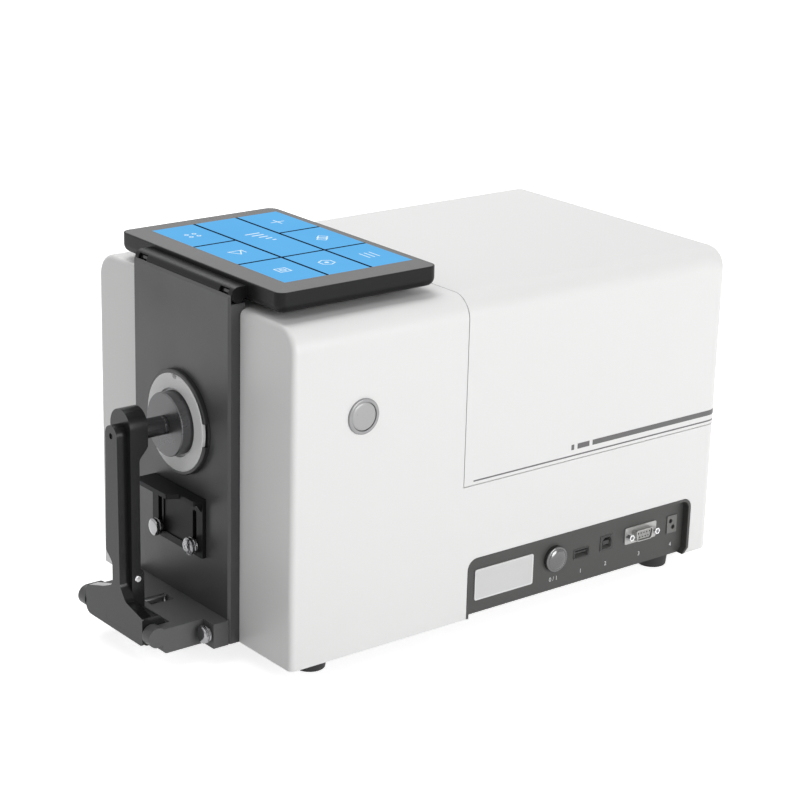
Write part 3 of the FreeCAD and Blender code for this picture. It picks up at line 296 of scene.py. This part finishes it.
solder_mask = board_finish()
inner_plastic = new_finish("inner_plastic", (0.05, 0.05, 0.052), 0.5, tone_change=0.1)
for node in ("main_board", "power_board", "io_board"):
    nodes[node].material_slots[0].material = solder_mask
for node in ("measure_switch", "power_switch"):
    nodes[node].material_slots[0].material = inner_plastic


# Main housing and rear top cover
# Two injection moulded shells in satin white plastic with a fine spark eroded grain. They meet
# at a narrow stepped seam, and two screws in the rear face hold the cover. The rims that meet in
# the seam are painted near black as painted shade, so that the seam shows as a thin dark line.

white_shell = new_finish("satin_white_plastic", (0.84, 0.84, 0.835), 0.36, grain_scale=2200.0,
                         grain_depth=0.006, patch_scale=9.0, tone_change=0.012, gloss_change=0.04)
# Painted shade: a near black finish on the seam's rims stands in for the shadow inside the gap.
seam_painted_shade = new_finish("seam_painted_shade_plastic", (0.03, 0.03, 0.03), 0.7, grain_scale=1800.0,
                       grain_depth=0.01, specular=0.1)
housing = finished_copy("main_housing", white_shell, 0.25)
cover = finished_copy("top_cover", white_shell, 0.25)
finished_copy("cover_screws", zinc_steel, 0.15)
housing_low, housing_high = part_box("main_housing")
cover_low, cover_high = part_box("top_cover")
front_x = housing_low.x
base_z = housing_low.z
seam_x = front_x + 140 * mm
seam_z = base_z + 97 * mm
rim_depth = 3.4 * mm
rim_reach = 1.5 * mm
least_slant = 0.3
# Give the rim faces at the seam, bevels included, the painted shade.
for shell, way in ((housing, 1.0), (cover, -1.0)):
    shell.data.materials.append(seam_painted_shade)
    for face in shell.data.polygons:
        spot = face.center
        at_skin = (abs(spot.y) > housing_high.y - rim_depth or spot.z > cover_high.z - rim_depth
                   or spot.x > cover_high.x - rim_depth)
        across = face.normal.x * way > least_slant and abs(spot.x - seam_x) < rim_reach
        along = face.normal.z * way > least_slant and abs(spot.z - seam_z) < rim_reach
        if at_skin and (across or along):
            face.material_index = 1


# Trim stripes on the cover
# Thin dark grey foil along the cover's lower edge: a hairline and a band, which both run round the
# rear corner and stop just short of the rear face, and two dashes before the band. The foil is
# stuck on, so it stands a tenth of a millimetre proud.

stripe_grey = new_finish("stripe_grey_foil", (0.13, 0.13, 0.13), 0.4, grain_scale=1800.0,
                         grain_depth=0.004)
rear_corner_radius = 12 * mm
wrap_angle = math.radians(82)
foil = 0.1 * mm
hairline_low = base_z + 99.3 * mm
hairline_high = base_z + 100.3 * mm
band_low = base_z + 104 * mm
band_high = base_z + 107.8 * mm


def stripe(name, start, low, high, end=None):
    """A foil strip on the cover's near side from start to end, or round the rear corner."""
    corner_x = cover_high.x - rear_corner_radius
    last = corner_x if end is None else end
    bpy.ops.object.select_all(action="DESELECT")
    bpy.ops.mesh.primitive_plane_add(size=1, location=((start + last) / 2, cover_low.y, (low + high) / 2),
                                     rotation=(math.pi / 2, 0, 0))
    piece = bpy.context.object
    piece.name = name
    piece.scale = (last - start, high - low, 1)
    bpy.ops.object.transform_apply(location=True, rotation=True, scale=True)
    if end is None:
        for edge in piece.data.edges:
            edge.select = all(piece.data.vertices[v].co.x > last - 1e-6 for v in edge.vertices)
        for point in piece.data.vertices:
            point.select = point.co.x > last - 1e-6
        for face in piece.data.polygons:
            face.select = False
        bpy.ops.object.mode_set(mode="EDIT")
        bpy.ops.mesh.select_mode(type="EDGE")
        bpy.ops.mesh.spin(steps=10, angle=-wrap_angle, axis=(0, 0, 1),
                          center=(corner_x, cover_low.y + rear_corner_radius, (low + high) / 2))
        bpy.ops.object.mode_set(mode="OBJECT")
    bpy.ops.object.mode_set(mode="EDIT")
    bpy.ops.mesh.select_all(action="SELECT")
    bpy.ops.mesh.remove_doubles(threshold=merge_distance)
    bpy.ops.mesh.normals_make_consistent(inside=False)
    bpy.ops.object.mode_set(mode="OBJECT")
    if piece.data.polygons[0].normal.y > 0:
        piece.data.flip_normals()
    thick = piece.modifiers.new("foil", "SOLIDIFY")
    thick.thickness = foil
    thick.offset = 1.0
    select_only(piece)
    bpy.ops.object.modifier_apply(modifier=thick.name)
    bpy.ops.object.shade_smooth_by_angle(angle=smooth_angle)
    show_as(piece, stripe_grey, "instrument", "dark_plastic")


stripe("trim_hairline", front_x + 148 * mm, hairline_low, hairline_high)
stripe("trim_dash_short", front_x + 235.3 * mm, band_low, band_high, front_x + 237.8 * mm)
stripe("trim_dash_long", front_x + 241 * mm, band_low, band_high, front_x + 252 * mm)
stripe("trim_band", front_x + 255 * mm, band_low, band_high)


# Measuring panel
# A machined plate with a bevelled rim, powder coated charcoal, screwed to the carrier.

finished_copy("measuring_panel", charcoal_coat, 0.35)


# Aperture collar and ring
# The collar is dark moulded plastic with two finger slots, and the light grey ring twists into it.

def turned_lines_group():
    """Fine concentric tool marks about the local X axis."""
    group = bpy.data.node_groups.new("turned_lines", "ShaderNodeTree")
    new_socket(group, "Vector", "INPUT", "NodeSocketVector")
    new_socket(group, "Lines per Metre", "INPUT")
    new_socket(group, "Marks", "OUTPUT")
    made = group.nodes
    start = made.new("NodeGroupInput")
    end = made.new("NodeGroupOutput")
    flat = made.new("ShaderNodeVectorMath")
    flat.operation = "MULTIPLY"
    flat.inputs[1].default_value = (0.0, 1.0, 1.0)
    reach = made.new("ShaderNodeVectorMath")
    reach.operation = "LENGTH"
    marks = made.new("ShaderNodeTexNoise")
    marks.noise_dimensions = "1D"
    marks.inputs["Detail"].default_value = 4.0
    group.links.new(start.outputs["Vector"], flat.inputs[0])
    group.links.new(flat.outputs["Vector"], reach.inputs[0])
    group.links.new(reach.outputs["Value"], marks.inputs["W"])
    group.links.new(start.outputs["Lines per Metre"], marks.inputs["Scale"])
    group.links.new(marks.outputs["Fac"], end.inputs["Marks"])
    return group


turned_lines = turned_lines_group()


def turned_finish(name, colour, roughness, metallic, centre, axis, lines, depth):
    """A finish with concentric tool marks about a centre; depth is in millimetres."""
    finish = new_finish(name, colour, roughness, metallic, patch_scale=60.0, tone_change=0.06)
    made = finish.node_tree.nodes
    join = finish.node_tree.links.new
    centred = made.new("ShaderNodeMapping")
    centred.vector_type = "TEXTURE"
    centred.inputs["Location"].default_value = centre
    centred.inputs["Rotation"].default_value = (0, 0, math.pi / 2) if axis == "Y" else (0, 0, 0)
    marks = made.new("ShaderNodeGroup")
    marks.node_tree = turned_lines
    marks.inputs["Lines per Metre"].default_value = lines
    join(made["Texture Coordinate"].outputs["Object"], centred.inputs["Vector"])
    join(centred.outputs["Vector"], marks.inputs["Vector"])
    join(marks.outputs["Marks"], made["Bump"].inputs["Height"])
    made["Bump"].inputs["Distance"].default_value = depth * mm
    return finish


collar_low, collar_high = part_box("aperture_collar")
port_centre = (collar_low + collar_high) / 2
dark_plastic = new_finish("dark_moulded_plastic", (0.02, 0.02, 0.021), 0.38, grain_scale=1800.0,
                          grain_depth=0.01, tone_change=0.08)
ring_grey = turned_finish("ring_grey", (0.85, 0.85, 0.85), 0.4, 0.0, port_centre, "X", 1500.0, 0.01)
finished_copy("aperture_collar", dark_plastic, 0.15)
finished_copy("aperture_ring", ring_grey, 0.15)


# Sample rest
# A black anodised slider with a stepped ledge along its top, moved up and down in two slots.

black_anodised = new_finish("black_anodised", (0.01, 0.01, 0.011), 0.42, grain_scale=2600.0,
                            grain_depth=0.006, tone_change=0.1, specular=0.12)
finished_copy("sample_rest", black_anodised, 0.2)


# Thumb screws
# Four bright chromed screws: a domed disc with a finely knurled rim, a narrow groove, a second
# disc and a neck. Two clamp the sample rest and two fix the shelf to the panel.

chrome = new_finish("bright_chrome", (0.72, 0.72, 0.73), 0.12, metallic=1.0, grain_scale=3000.0,
                    grain_depth=0.001, patch_scale=200.0, tone_change=0.03, gloss_change=0.03)
screw_chrome = new_finish("screw_chrome", (0.32, 0.32, 0.33), 0.16, metallic=1.0, grain_scale=3000.0,
                          grain_depth=0.001, patch_scale=200.0, tone_change=0.05, gloss_change=0.04)


def knurl(piece, start, end, height):
    """Raise every other facet of the band between two places along X."""
    for face in piece.data.polygons:
        facet = math.atan2(face.normal.z, face.normal.y) / (2 * math.pi) * round_sides
        on_band = start < face.center.x < end and abs(face.normal.x) < 0.2
        face.select = on_band and int(round(facet - 0.5)) % 2 == 0
    select_only(piece)
    bpy.ops.object.mode_set(mode="EDIT")
    bpy.ops.mesh.select_mode(type="FACE")
    bpy.ops.mesh.inset(thickness=0.06 * mm, depth=height, use_individual=True)
    bpy.ops.object.mode_set(mode="OBJECT")


for node in ("rest_screw_near", "rest_screw_far", "shelf_screw_near", "shelf_screw_far"):
    screw_low, screw_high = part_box(node)
    face = screw_low.x
    middle = (screw_low + screw_high) / 2
    grip = (screw_high.z - screw_low.z) / 2
    domed_disc = [
        (face, 1.2 * mm), (face + 0.12 * mm, 3.0 * mm), (face + 0.35 * mm, grip - 1.7 * mm),
        (face + 0.6 * mm, grip - 1.0 * mm), (face + 0.95 * mm, grip - 0.4 * mm),
        (face + 1.3 * mm, grip - 0.12 * mm), (face + 2.85 * mm, grip - 0.12 * mm),
        (face + 3.0 * mm, grip - 0.3 * mm)]
    groove = [(face + 3.01 * mm, grip - 0.9 * mm), (face + 3.69 * mm, grip - 0.9 * mm)]
    second_disc = [
        (face + 3.7 * mm, grip - 0.3 * mm), (face + 3.85 * mm, grip - 0.1 * mm),
        (face + 4.9 * mm, grip - 0.1 * mm), (face + 5.3 * mm, grip - 0.5 * mm)]
    neck = [
        (face + 5.31 * mm, grip - 1.6 * mm), (face + 6.5 * mm, grip - 1.6 * mm),
        (face + 6.51 * mm, 2.0 * mm), (screw_high.x - 0.4 * mm, 2.0 * mm), (screw_high.x, 1.6 * mm)]
    screw = turned(node + "_turned", "X", middle, domed_disc + groove + second_disc + neck)
    knurl(screw, face + 1.4 * mm, face + 2.8 * mm, 0.1 * mm)
    round_and_smooth(screw, 0.0)
    show_as(screw, screw_chrome, nodes[node]["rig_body"], "bright_chrome", node)


# Shelf bracket and clamp arm
# Charcoal powder coated castings. The shelf's coat is painted lighter than the arm's: painted
# light standing in for the light on its top. The arm stands on the hinge pin in the bracket's two
# ears and carries the plunger; a bright pin shows in its lug. A thin cover closes the arm's spring
# recess in front.

arm_coat = new_finish("arm_powder_coat", (0.012, 0.012, 0.0125), 0.2, grain_scale=1500.0,
                      grain_depth=0.005, tone_change=0.1, gloss_change=0.05, specular=0.3)
# Painted light: the shelf's charcoal coat is lighter than the arm's to stand in for the light on its top.
shelf_painted_light_finish = new_finish("shelf_painted_light_coat", (0.11, 0.11, 0.111), 0.42, grain_scale=1500.0,
                        grain_depth=0.02, tone_change=0.1, gloss_change=0.05, specular=0.25)
spring_steel = new_finish("spring_steel", (0.3, 0.3, 0.31), 0.3, metallic=1.0, grain_scale=2600.0,
                          grain_depth=0.003)
dark_anodised = new_finish("dark_anodised", (0.08, 0.08, 0.084), 0.2, metallic=0.7,
                           grain_scale=2600.0, grain_depth=0.004, tone_change=0.1)
finished_copy("shelf_bracket", shelf_painted_light_finish, 0.3)
finished_copy("clamp_arm", arm_coat, 0.4)
hinge_low, hinge_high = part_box("clamp_hinge_pin")
hinge_z = (hinge_low.z + hinge_high.z) / 2
recess_face = front_x - 61.28 * mm
recess_size = Vector((0.7, 19.2, 11.0)) * mm
bpy.ops.object.select_all(action="DESELECT")
bpy.ops.mesh.primitive_cube_add(size=1, location=(recess_face + recess_size.x / 2, 0, hinge_z),
                                scale=recess_size)
recess_cover = bpy.context.object
recess_cover.name = "arm_recess_cover"
bpy.ops.object.transform_apply(location=True, rotation=True, scale=True)
round_and_smooth(recess_cover, 0.0)
show_as(recess_cover, arm_coat, "arm", slot_of("clamp_arm"))
finished_copy("clamp_hinge_pin", zinc_steel, 0.2)
finished_copy("clamp_spring", spring_steel, 0.0)
finished_copy("arm_end_screw", inner_plastic, 0.0)
finished_copy("lug_pin", chrome, 0.1)


# Plunger
# A dark anodised bush, shaft and pad, pressed towards the measuring hole by a coil spring.

pad_metal = turned_finish("turned_dark_metal", (0.12, 0.12, 0.124), 0.3, 0.7, port_centre, "X",
                          2200.0, 0.0015)
finished_copy("plunger_bush", dark_anodised, 0.2)
finished_copy("plunger_shaft", dark_anodised, 0.2)
finished_copy("plunger_pad", pad_metal, 0.2)
finished_copy("plunger_spring", spring_steel, 0.0)


# Display frame and its hinge
# A dark satin moulding with a rounded underside. Its front bar turns on two pins in metal ears
# that stand on the measuring panel, and two rubber bumpers rest on the housing.

display_plastic = new_finish("display_plastic", (0.012, 0.012, 0.0125), 0.34, grain_scale=1800.0,
                             grain_depth=0.006, tone_change=0.08, specular=0.16)
finished_copy("display_frame", display_plastic, 0.25)
finished_copy("display_hinge_ears", dark_anodised, 0.2)
finished_copy("display_hinge_pins", zinc_steel, 0.2)
finished_copy("display_bumpers", black_rubber, 0.0)
nodes["display_module"].material_slots[0].material = inner_plastic


# Display glass with its lit screen
# One cover glass, printed grey round the edge. Behind it the screen shows blue tiles with dark
# gaps, two of the middle ones joined. The glass gives up 0.02 mm of its thickness to the figures
# on the tiles, so that the height stays as it was.

def glossy(finish):
    """Add the clear top surface of glass to a finish."""
    shader = finish.node_tree.nodes["Principled BSDF"]
    shader.inputs["Coat Weight"].default_value = 0.03
    shader.inputs["Coat Roughness"].default_value = 0.05
    return finish


def lit_finish(name, cool, warm, strength):
    """Light from the screen, shading softly between two colours over the glass."""
    finish = glossy(new_finish(name, (0.003, 0.005, 0.01), 0.3, grain_depth=0.0, specular=0.0))
    made = finish.node_tree.nodes
    join = finish.node_tree.links.new
    shade = made.new("ShaderNodeMix")
    shade.data_type = "RGBA"
    shade.inputs["A"].default_value = cool + (1.0,)
    shade.inputs["B"].default_value = warm + (1.0,)
    join(made["detail"].outputs["Patches"], shade.inputs["Factor"])
    join(shade.outputs["Result"], made["Principled BSDF"].inputs["Emission Color"])
    made["Principled BSDF"].inputs["Emission Strength"].default_value = strength
    return finish


bezel_print = glossy(new_finish("bezel_print", (0.1, 0.1, 0.1), 0.45, grain_depth=0.0,
                                patch_scale=6.0, tone_change=0.12, specular=0.3))
tile_blue = lit_finish("tile_blue", (0.12, 0.46, 0.88), (0.15, 0.52, 0.93), 0.95)
gap_navy = lit_finish("gap_navy", (0.001, 0.004, 0.01), (0.002, 0.006, 0.014), 0.9)
figure_white = lit_finish("figure_white", (0.75, 0.9, 1.0), (0.8, 0.94, 1.0), 1.0)

glass = finished_copy("display_glass", bezel_print, 0.0)
glass_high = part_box("display_glass")[1]
figure_depth = 0.02 * mm
for point in glass.data.vertices:
    if point.co.z > glass_high.z - figure_depth / 2:
        point.co.z -= figure_depth
screen_low = Vector((front_x + 22.3 * mm, -73.3 * mm, glass_high.z))
screen_high = Vector((front_x + 124.5 * mm, 81.5 * mm, glass_high.z))
gap = 2.1 * mm
tiles_a_side = 3
joined_column = 1
tile_x = (screen_high.x - screen_low.x + gap) / tiles_a_side
tile_y = (screen_high.y - screen_low.y + gap) / tiles_a_side


def cut_top(piece, spots, normal):
    """Score the top face at each spot along one axis."""
    for spot in spots:
        for face in piece.data.polygons:
            face.select = face.normal.z > 0.9
        select_only(piece)
        bpy.ops.object.mode_set(mode="EDIT")
        bpy.ops.mesh.select_mode(type="FACE")
        bpy.ops.mesh.bisect(plane_co=normal * spot, plane_no=normal)
        bpy.ops.object.mode_set(mode="OBJECT")


edges_x = [screen_low.x, screen_high.x]
edges_y = [screen_low.y, screen_high.y]
for i in range(1, tiles_a_side):
    edges_x += [screen_low.x + i * tile_x - gap, screen_low.x + i * tile_x]
    edges_y += [screen_low.y + i * tile_y - gap, screen_low.y + i * tile_y]
cut_top(glass, edges_x, Vector((1, 0, 0)))
cut_top(glass, edges_y, Vector((0, 1, 0)))
glass.data.materials.append(gap_navy)
glass.data.materials.append(tile_blue)
for face in glass.data.polygons:
    inside_x = screen_low.x < face.center.x < screen_high.x
    inside_y = screen_low.y < face.center.y < screen_high.y
    if face.normal.z > 0.9 and inside_x and inside_y:
        step_x = (face.center.x - screen_low.x) % tile_x
        step_y = (face.center.y - screen_low.y) % tile_y
        column = int((face.center.x - screen_low.x) / tile_x)
        joined = column == joined_column and face.center.y > screen_low.y + tile_y
        in_tile_y = step_y < tile_y - gap or joined
        face.material_index = 2 if step_x < tile_x - gap and in_tile_y else 1


# Figures on the tiles
# Flat white outlines of a few simple shapes, one set on each tile.

figure_top = glass_high.z
figures = []


def outline(sides, radius, x, y, width=0.9, turn=0.0):
    """A flat regular outline; a width of zero leaves it filled."""
    bpy.ops.object.select_all(action="DESELECT")
    bpy.ops.mesh.primitive_circle_add(vertices=sides, radius=radius * mm, fill_type="NGON",
                                      location=(x, y, figure_top), rotation=(0, 0, math.radians(turn)))
    bpy.ops.object.transform_apply(location=True, rotation=True, scale=True)
    if width > 0:
        bpy.ops.object.mode_set(mode="EDIT")
        bpy.ops.mesh.select_all(action="SELECT")
        bpy.ops.mesh.inset(thickness=width * mm, depth=0)
        bpy.ops.mesh.delete(type="FACE")
        bpy.ops.object.mode_set(mode="OBJECT")
    figures.append(bpy.context.object)


def bar(length, width, x, y):
    """A flat filled bar, its length along the screen's long side."""
    bpy.ops.object.select_all(action="DESELECT")
    bpy.ops.mesh.primitive_plane_add(size=1, location=(x, y, figure_top))
    bpy.context.object.scale = (width * mm, length * mm, 1)
    bpy.ops.object.transform_apply(location=True, rotation=True, scale=True)
    figures.append(bpy.context.object)


def tile_middle(column, row):
    x = screen_low.x + column * tile_x + (tile_x - gap) / 2
    y = screen_low.y + row * tile_y + (tile_y - gap) / 2
    return x, y


x, y = tile_middle(0, 0)
outline(4, 6.5, x, y, turn=45)
outline(4, 3.0, x, y, turn=45)
x, y = tile_middle(0, 1)
outline(3, 6.5, x, y, turn=180)
bar(7.0, 0.9, x + 5.5 * mm, y)
x, y = tile_middle(0, 2)
for i in range(4):
    outline(24, 1.7, x + (i // 2 * 6 - 3) * mm, y + (i % 2 * 6 - 3) * mm)
x, y = tile_middle(1, 0)
outline(6, 6.0, x, y)
outline(24, 1.6, x, y, width=0)
x, y = tile_middle(1, 1)
for i in range(5):
    bar(1.6, 3.0 + 2.2 * i, x + (5.5 - 1.1 * i) * mm, y + (14 + 5 * i) * mm)
x, y = tile_middle(2, 0)
for i in range(3):
    bar(12.0, 0.9, x + (i * 4 - 4) * mm, y)
x, y = tile_middle(2, 1)
outline(4, 5.0, x - 1.2 * mm, y - 1.6 * mm)
outline(4, 5.0, x + 1.2 * mm, y + 1.6 * mm)
x, y = tile_middle(2, 2)
bar(11.0, 1.0, x, y)
bar(1.0, 11.0, x, y)
bpy.ops.object.select_all(action="DESELECT")
for figure in figures:
    figure.select_set(True)
bpy.context.view_layer.objects.active = figures[0]
bpy.ops.object.join()
screen_figures = bpy.context.object
screen_figures.name = "screen_figures"
show_as(screen_figures, figure_white, "display", "label_white")


# Measuring button
# A silver painted ring with a satin domed cap, pressed straight in.

cap_low, cap_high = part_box("measure_button_cap")
button_centre = (cap_low + cap_high) / 2
silver_paint = turned_finish("silver_paint", (0.3, 0.3, 0.305), 0.3, 0.6, button_centre, "Y",
                             1800.0, 0.004)
cap_satin = turned_finish("cap_satin", (0.4, 0.4, 0.4), 0.32, 0.2, button_centre, "Y",
                          1600.0, 0.004)
finished_copy("measure_button_ring", silver_paint, 0.1)
cap_radius = (cap_high.x - cap_low.x) / 2
cap = turned("measure_button_domed_cap", "Y", button_centre, [
    (cap_low.y, 2.0 * mm), (cap_low.y + 0.04 * mm, cap_radius * 0.5),
    (cap_low.y + 0.16 * mm, cap_radius * 0.8), (cap_low.y + 0.34 * mm, cap_radius - 0.7 * mm),
    (cap_low.y + 0.6 * mm, cap_radius - 0.25 * mm),
    (cap_low.y + 1.0 * mm, cap_radius), (cap_high.y, cap_radius)])
round_and_smooth(cap, 0.0)
show_as(cap, cap_satin, "measure_button", "button_grey", "measure_button_cap")


# Connector panel and label
# A dished panel in dark grained plastic with a rounded rim. The label is a blank light film with
# a white border, stuck on its floor.

panel_plastic = new_finish("connector_panel_plastic", (0.05, 0.05, 0.048), 0.45, grain_scale=1500.0,
                           grain_depth=0.015, tone_change=0.08)
label_film = new_finish("label_film", (0.7, 0.7, 0.7), 0.35, grain_scale=800.0, grain_depth=0.004,
                        tone_change=0.02)
label_border = new_finish("label_border", (0.82, 0.82, 0.82), 0.3, grain_depth=0.0, tone_change=0.01)
border_width = 1.0 * mm
border_height = 0.1 * mm
finished_copy("port_panel", panel_plastic, 0.2)
label = finished_copy("label_plate", label_border, 0.0)
label.data.materials.append(label_film)
for face in label.data.polygons:
    face.select = face.normal.y < -0.9
select_only(label)
bpy.ops.object.mode_set(mode="EDIT")
bpy.ops.mesh.select_mode(type="FACE")
bpy.ops.mesh.inset(thickness=border_width, depth=-border_height)
bpy.ops.object.mode_set(mode="OBJECT")
for face in label.data.polygons:
    if face.select:
        face.material_index = 1


# Power button
# A ring and a domed cap of the same turned silver metal.

power_low, power_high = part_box("power_button_cap")
power_centre = (power_low + power_high) / 2
power_radius = (power_high.x - power_low.x) / 2
power_silver = turned_finish("power_silver", (0.16, 0.16, 0.16), 0.2, 0.9, power_centre, "Y",
                             1600.0, 0.003)
finished_copy("power_button_ring", power_silver, 0.1)
power_cap = turned("power_button_domed_cap", "Y", power_centre, [
    (power_low.y, 1.6 * mm), (power_low.y + 0.1 * mm, power_radius * 0.45),
    (power_low.y + 0.35 * mm, power_radius * 0.72), (power_low.y + 0.75 * mm, power_radius * 0.9),
    (power_low.y + 1.3 * mm, power_radius), (power_high.y, power_radius)])
round_and_smooth(power_cap, 0.0)
show_as(power_cap, power_silver, "power_button", "silver", "power_button_cap")


# Connectors
# Nickel plated shells with dark moulded inserts: two data sockets, the nine way connector with
# its bright jack screws, and the square power inlet.

def paint(piece, finish, test):
    """Give the faces that pass the test another finish."""
    piece.data.materials.append(finish)
    for face in piece.data.polygons:
        if test(face.center):
            face.material_index = len(piece.data.materials) - 1


def inside(low, high, inset):
    """A test for points inside a box seen from the near side, drawn in by an inset."""
    def test(point):
        return low.x + inset < point.x < high.x - inset and low.z + inset < point.z < high.z - inset
    return test


port_nickel = new_finish("port_nickel", (0.42, 0.42, 0.41), 0.35, metallic=0.6, grain_scale=2200.0,
                         grain_depth=0.004, tone_change=0.1)
pin_plastic = new_finish("pin_plastic", (0.03, 0.03, 0.03), 0.45)
pin_face = new_finish("pin_face_plastic", (0.34, 0.34, 0.33), 0.5)
inlet_plastic = new_finish("inlet_plastic", (0.16, 0.16, 0.155), 0.45)
for node, inset in (("usb_a_port", 1.2 * mm), ("usb_b_port", 1.9 * mm)):
    socket = finished_copy(node, port_nickel, 0.0)
    paint(socket, pin_plastic, inside(*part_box(node), inset))
serial = finished_copy("serial_port", port_nickel, 0.0)
serial_low, serial_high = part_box("serial_port")
serial_middle = (serial_low + serial_high) / 2
panel_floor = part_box("label_plate")[1].y
insert_face = panel_floor - 4.2 * mm
insert_reach = Vector((6.6, 2.0, 2.6)) * mm
paint(serial, pin_face, lambda spot: abs(spot.y - insert_face) < 0.05 * mm)
paint(serial, pin_plastic, lambda spot: insert_face + 0.1 * mm < spot.y < insert_face + insert_reach.y
      and abs(spot.x - serial_middle.x) < insert_reach.x
      and abs(spot.z - serial_middle.z) < insert_reach.z)
finished_copy("serial_jackscrews", chrome, 0.1)
finished_copy("dc_inlet", inlet_plastic, 0.15)


# Digits under the connectors
# White printed marks: two digits for the power button's states and one for each socket.

mark_white = new_finish("mark_white", (0.75, 0.75, 0.75), 0.5, grain_depth=0.0, tone_change=0.02)
mark_z = base_z + 7.8 * mm
mark_size = 4.4 * mm
ink = 0.03 * mm
for text, node in (("0 / 1", "power_button_cap"), ("1", "usb_a_port"), ("2", "usb_b_port"),
                   ("3", "serial_port"), ("4", "dc_inlet")):
    low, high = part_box(node)
    bpy.ops.object.select_all(action="DESELECT")
    bpy.ops.object.text_add()
    mark = bpy.context.object
    mark.data.body = text
    mark.data.size = mark_size
    mark.data.align_x = "CENTER"
    mark.data.align_y = "CENTER"
    mark.data.extrude = ink
    bpy.ops.object.convert(target="MESH")
    mark = bpy.context.object
    mark.name = "mark_" + node
    mark.rotation_euler = (math.pi / 2, 0, 0)
    mark.location = ((low.x + high.x) / 2, panel_floor - ink, mark_z)
    bpy.ops.object.transform_apply(location=True, rotation=True, scale=True)
    show_as(mark, mark_white, "instrument", "label_white")


# Floor and world
# A wide plain white floor that keeps the object's soft shadow, under an even white surround.

def seen_directly(made, join):
    """One for camera, glossy and transmission rays, and nought for diffuse light."""
    path = made.new("ShaderNodeLightPath")
    total = path.outputs["Is Camera Ray"]
    for ray in ("Is Glossy Ray", "Is Transmission Ray"):
        larger = made.new("ShaderNodeMath")
        larger.operation = "MAXIMUM"
        join(total, larger.inputs[0])
        join(path.outputs[ray], larger.inputs[1])
        total = larger.outputs["Value"]
    return total


floor_size = 14.0
floor_light = 0.79
bpy.ops.object.select_all(action="DESELECT")
bpy.ops.mesh.primitive_plane_add(size=floor_size, location=(0, 0, cad_low.z))
floor = bpy.context.object
floor.name = "floor"
floor_white = bpy.data.materials.new("floor_white")
floor_white.use_nodes = True
floor_nodes = floor_white.node_tree.nodes
floor_join = floor_white.node_tree.links.new
floor_shader = floor_nodes["Principled BSDF"]
floor_shader.inputs["Base Color"].default_value = (0.8, 0.8, 0.8, 1.0)
floor_shader.inputs["Roughness"].default_value = 1.0
floor_shader.inputs["Specular IOR Level"].default_value = 0.0
floor_shader.inputs["Emission Color"].default_value = (1.0, 1.0, 1.0, 1.0)
floor_glow = floor_nodes.new("ShaderNodeMath")
floor_glow.operation = "MULTIPLY"
floor_glow.inputs[1].default_value = floor_light
floor_join(seen_directly(floor_nodes, floor_join), floor_glow.inputs[0])
floor_join(floor_glow.outputs["Value"], floor_shader.inputs["Emission Strength"])
floor.data.materials.append(floor_white)

surround_light = 0.27
world = bpy.data.worlds.new("white_surround")
bpy.context.scene.world = world
world.use_nodes = True
world_nodes = world.node_tree.nodes
world_join = world.node_tree.links.new
level = world_nodes.new("ShaderNodeMapRange")
level.inputs["To Min"].default_value = surround_light
level.inputs["To Max"].default_value = 1.0
world_join(seen_directly(world_nodes, world_join), level.inputs["Value"])
world_nodes["Background"].inputs["Color"].default_value = (1.0, 1.0, 1.0, 1.0)
world_join(level.outputs["Result"], world_nodes["Background"].inputs["Strength"])


# Lamps
# Large soft boxes: the main one low before the near side, one above the far side, so that the
# display shades the housing beside it, and two weak ones at the front.

def soft_box(name, place, aim, size, power):
    """A square soft box at a place, turned to face a point."""
    lamp = bpy.data.lights.new(name, "AREA")
    lamp.shape = "SQUARE"
    lamp.size = size
    lamp.energy = power
    box = bpy.data.objects.new(name, lamp)
    bpy.context.scene.collection.objects.link(box)
    box.location = place
    box.rotation_euler = (Vector(aim) - Vector(place)).to_track_quat("-Z", "Y").to_euler()


soft_box("near_side_box", (0.5, -2.6, 0.8), (0.0, 0.0, 0.12), 1.4, 40)
soft_box("high_front_box", (-0.9, -0.4, 2.2), (-0.2, 0.0, 0.1), 1.0, 5)
soft_box("overhead_box", (0.3, 1.2, 2.0), (0.0, 0.0, 0.15), 1.4, 26)
soft_box("front_box", (-2.2, -0.2, 1.5), (0.0, 0.0, 0.15), 1.0, 2)


# Camera
# The photograph's viewpoint: from the front left corner, a little above the display.

camera_place = Vector((-0.9369, -1.1959, 0.6449))
camera_azimuth = math.radians(-38.55)
camera_elevation = math.radians(18.49)
camera_roll = math.radians(1.51)
camera_data = bpy.data.cameras.new("camera")
camera_data.lens = 102.71
camera_data.sensor_width = 36.0
camera = bpy.data.objects.new("camera", camera_data)
bpy.context.scene.collection.objects.link(camera)
camera.location = camera_place
camera.rotation_mode = "QUATERNION"
camera.rotation_quaternion = (Quaternion((0, 0, 1), camera_azimuth)
                              @ Quaternion((1, 0, 0), math.pi / 2 - camera_elevation)
                              @ Quaternion((0, 0, 1), camera_roll))
bpy.context.scene.camera = camera
bpy.context.scene.view_settings.view_transform = "Standard"
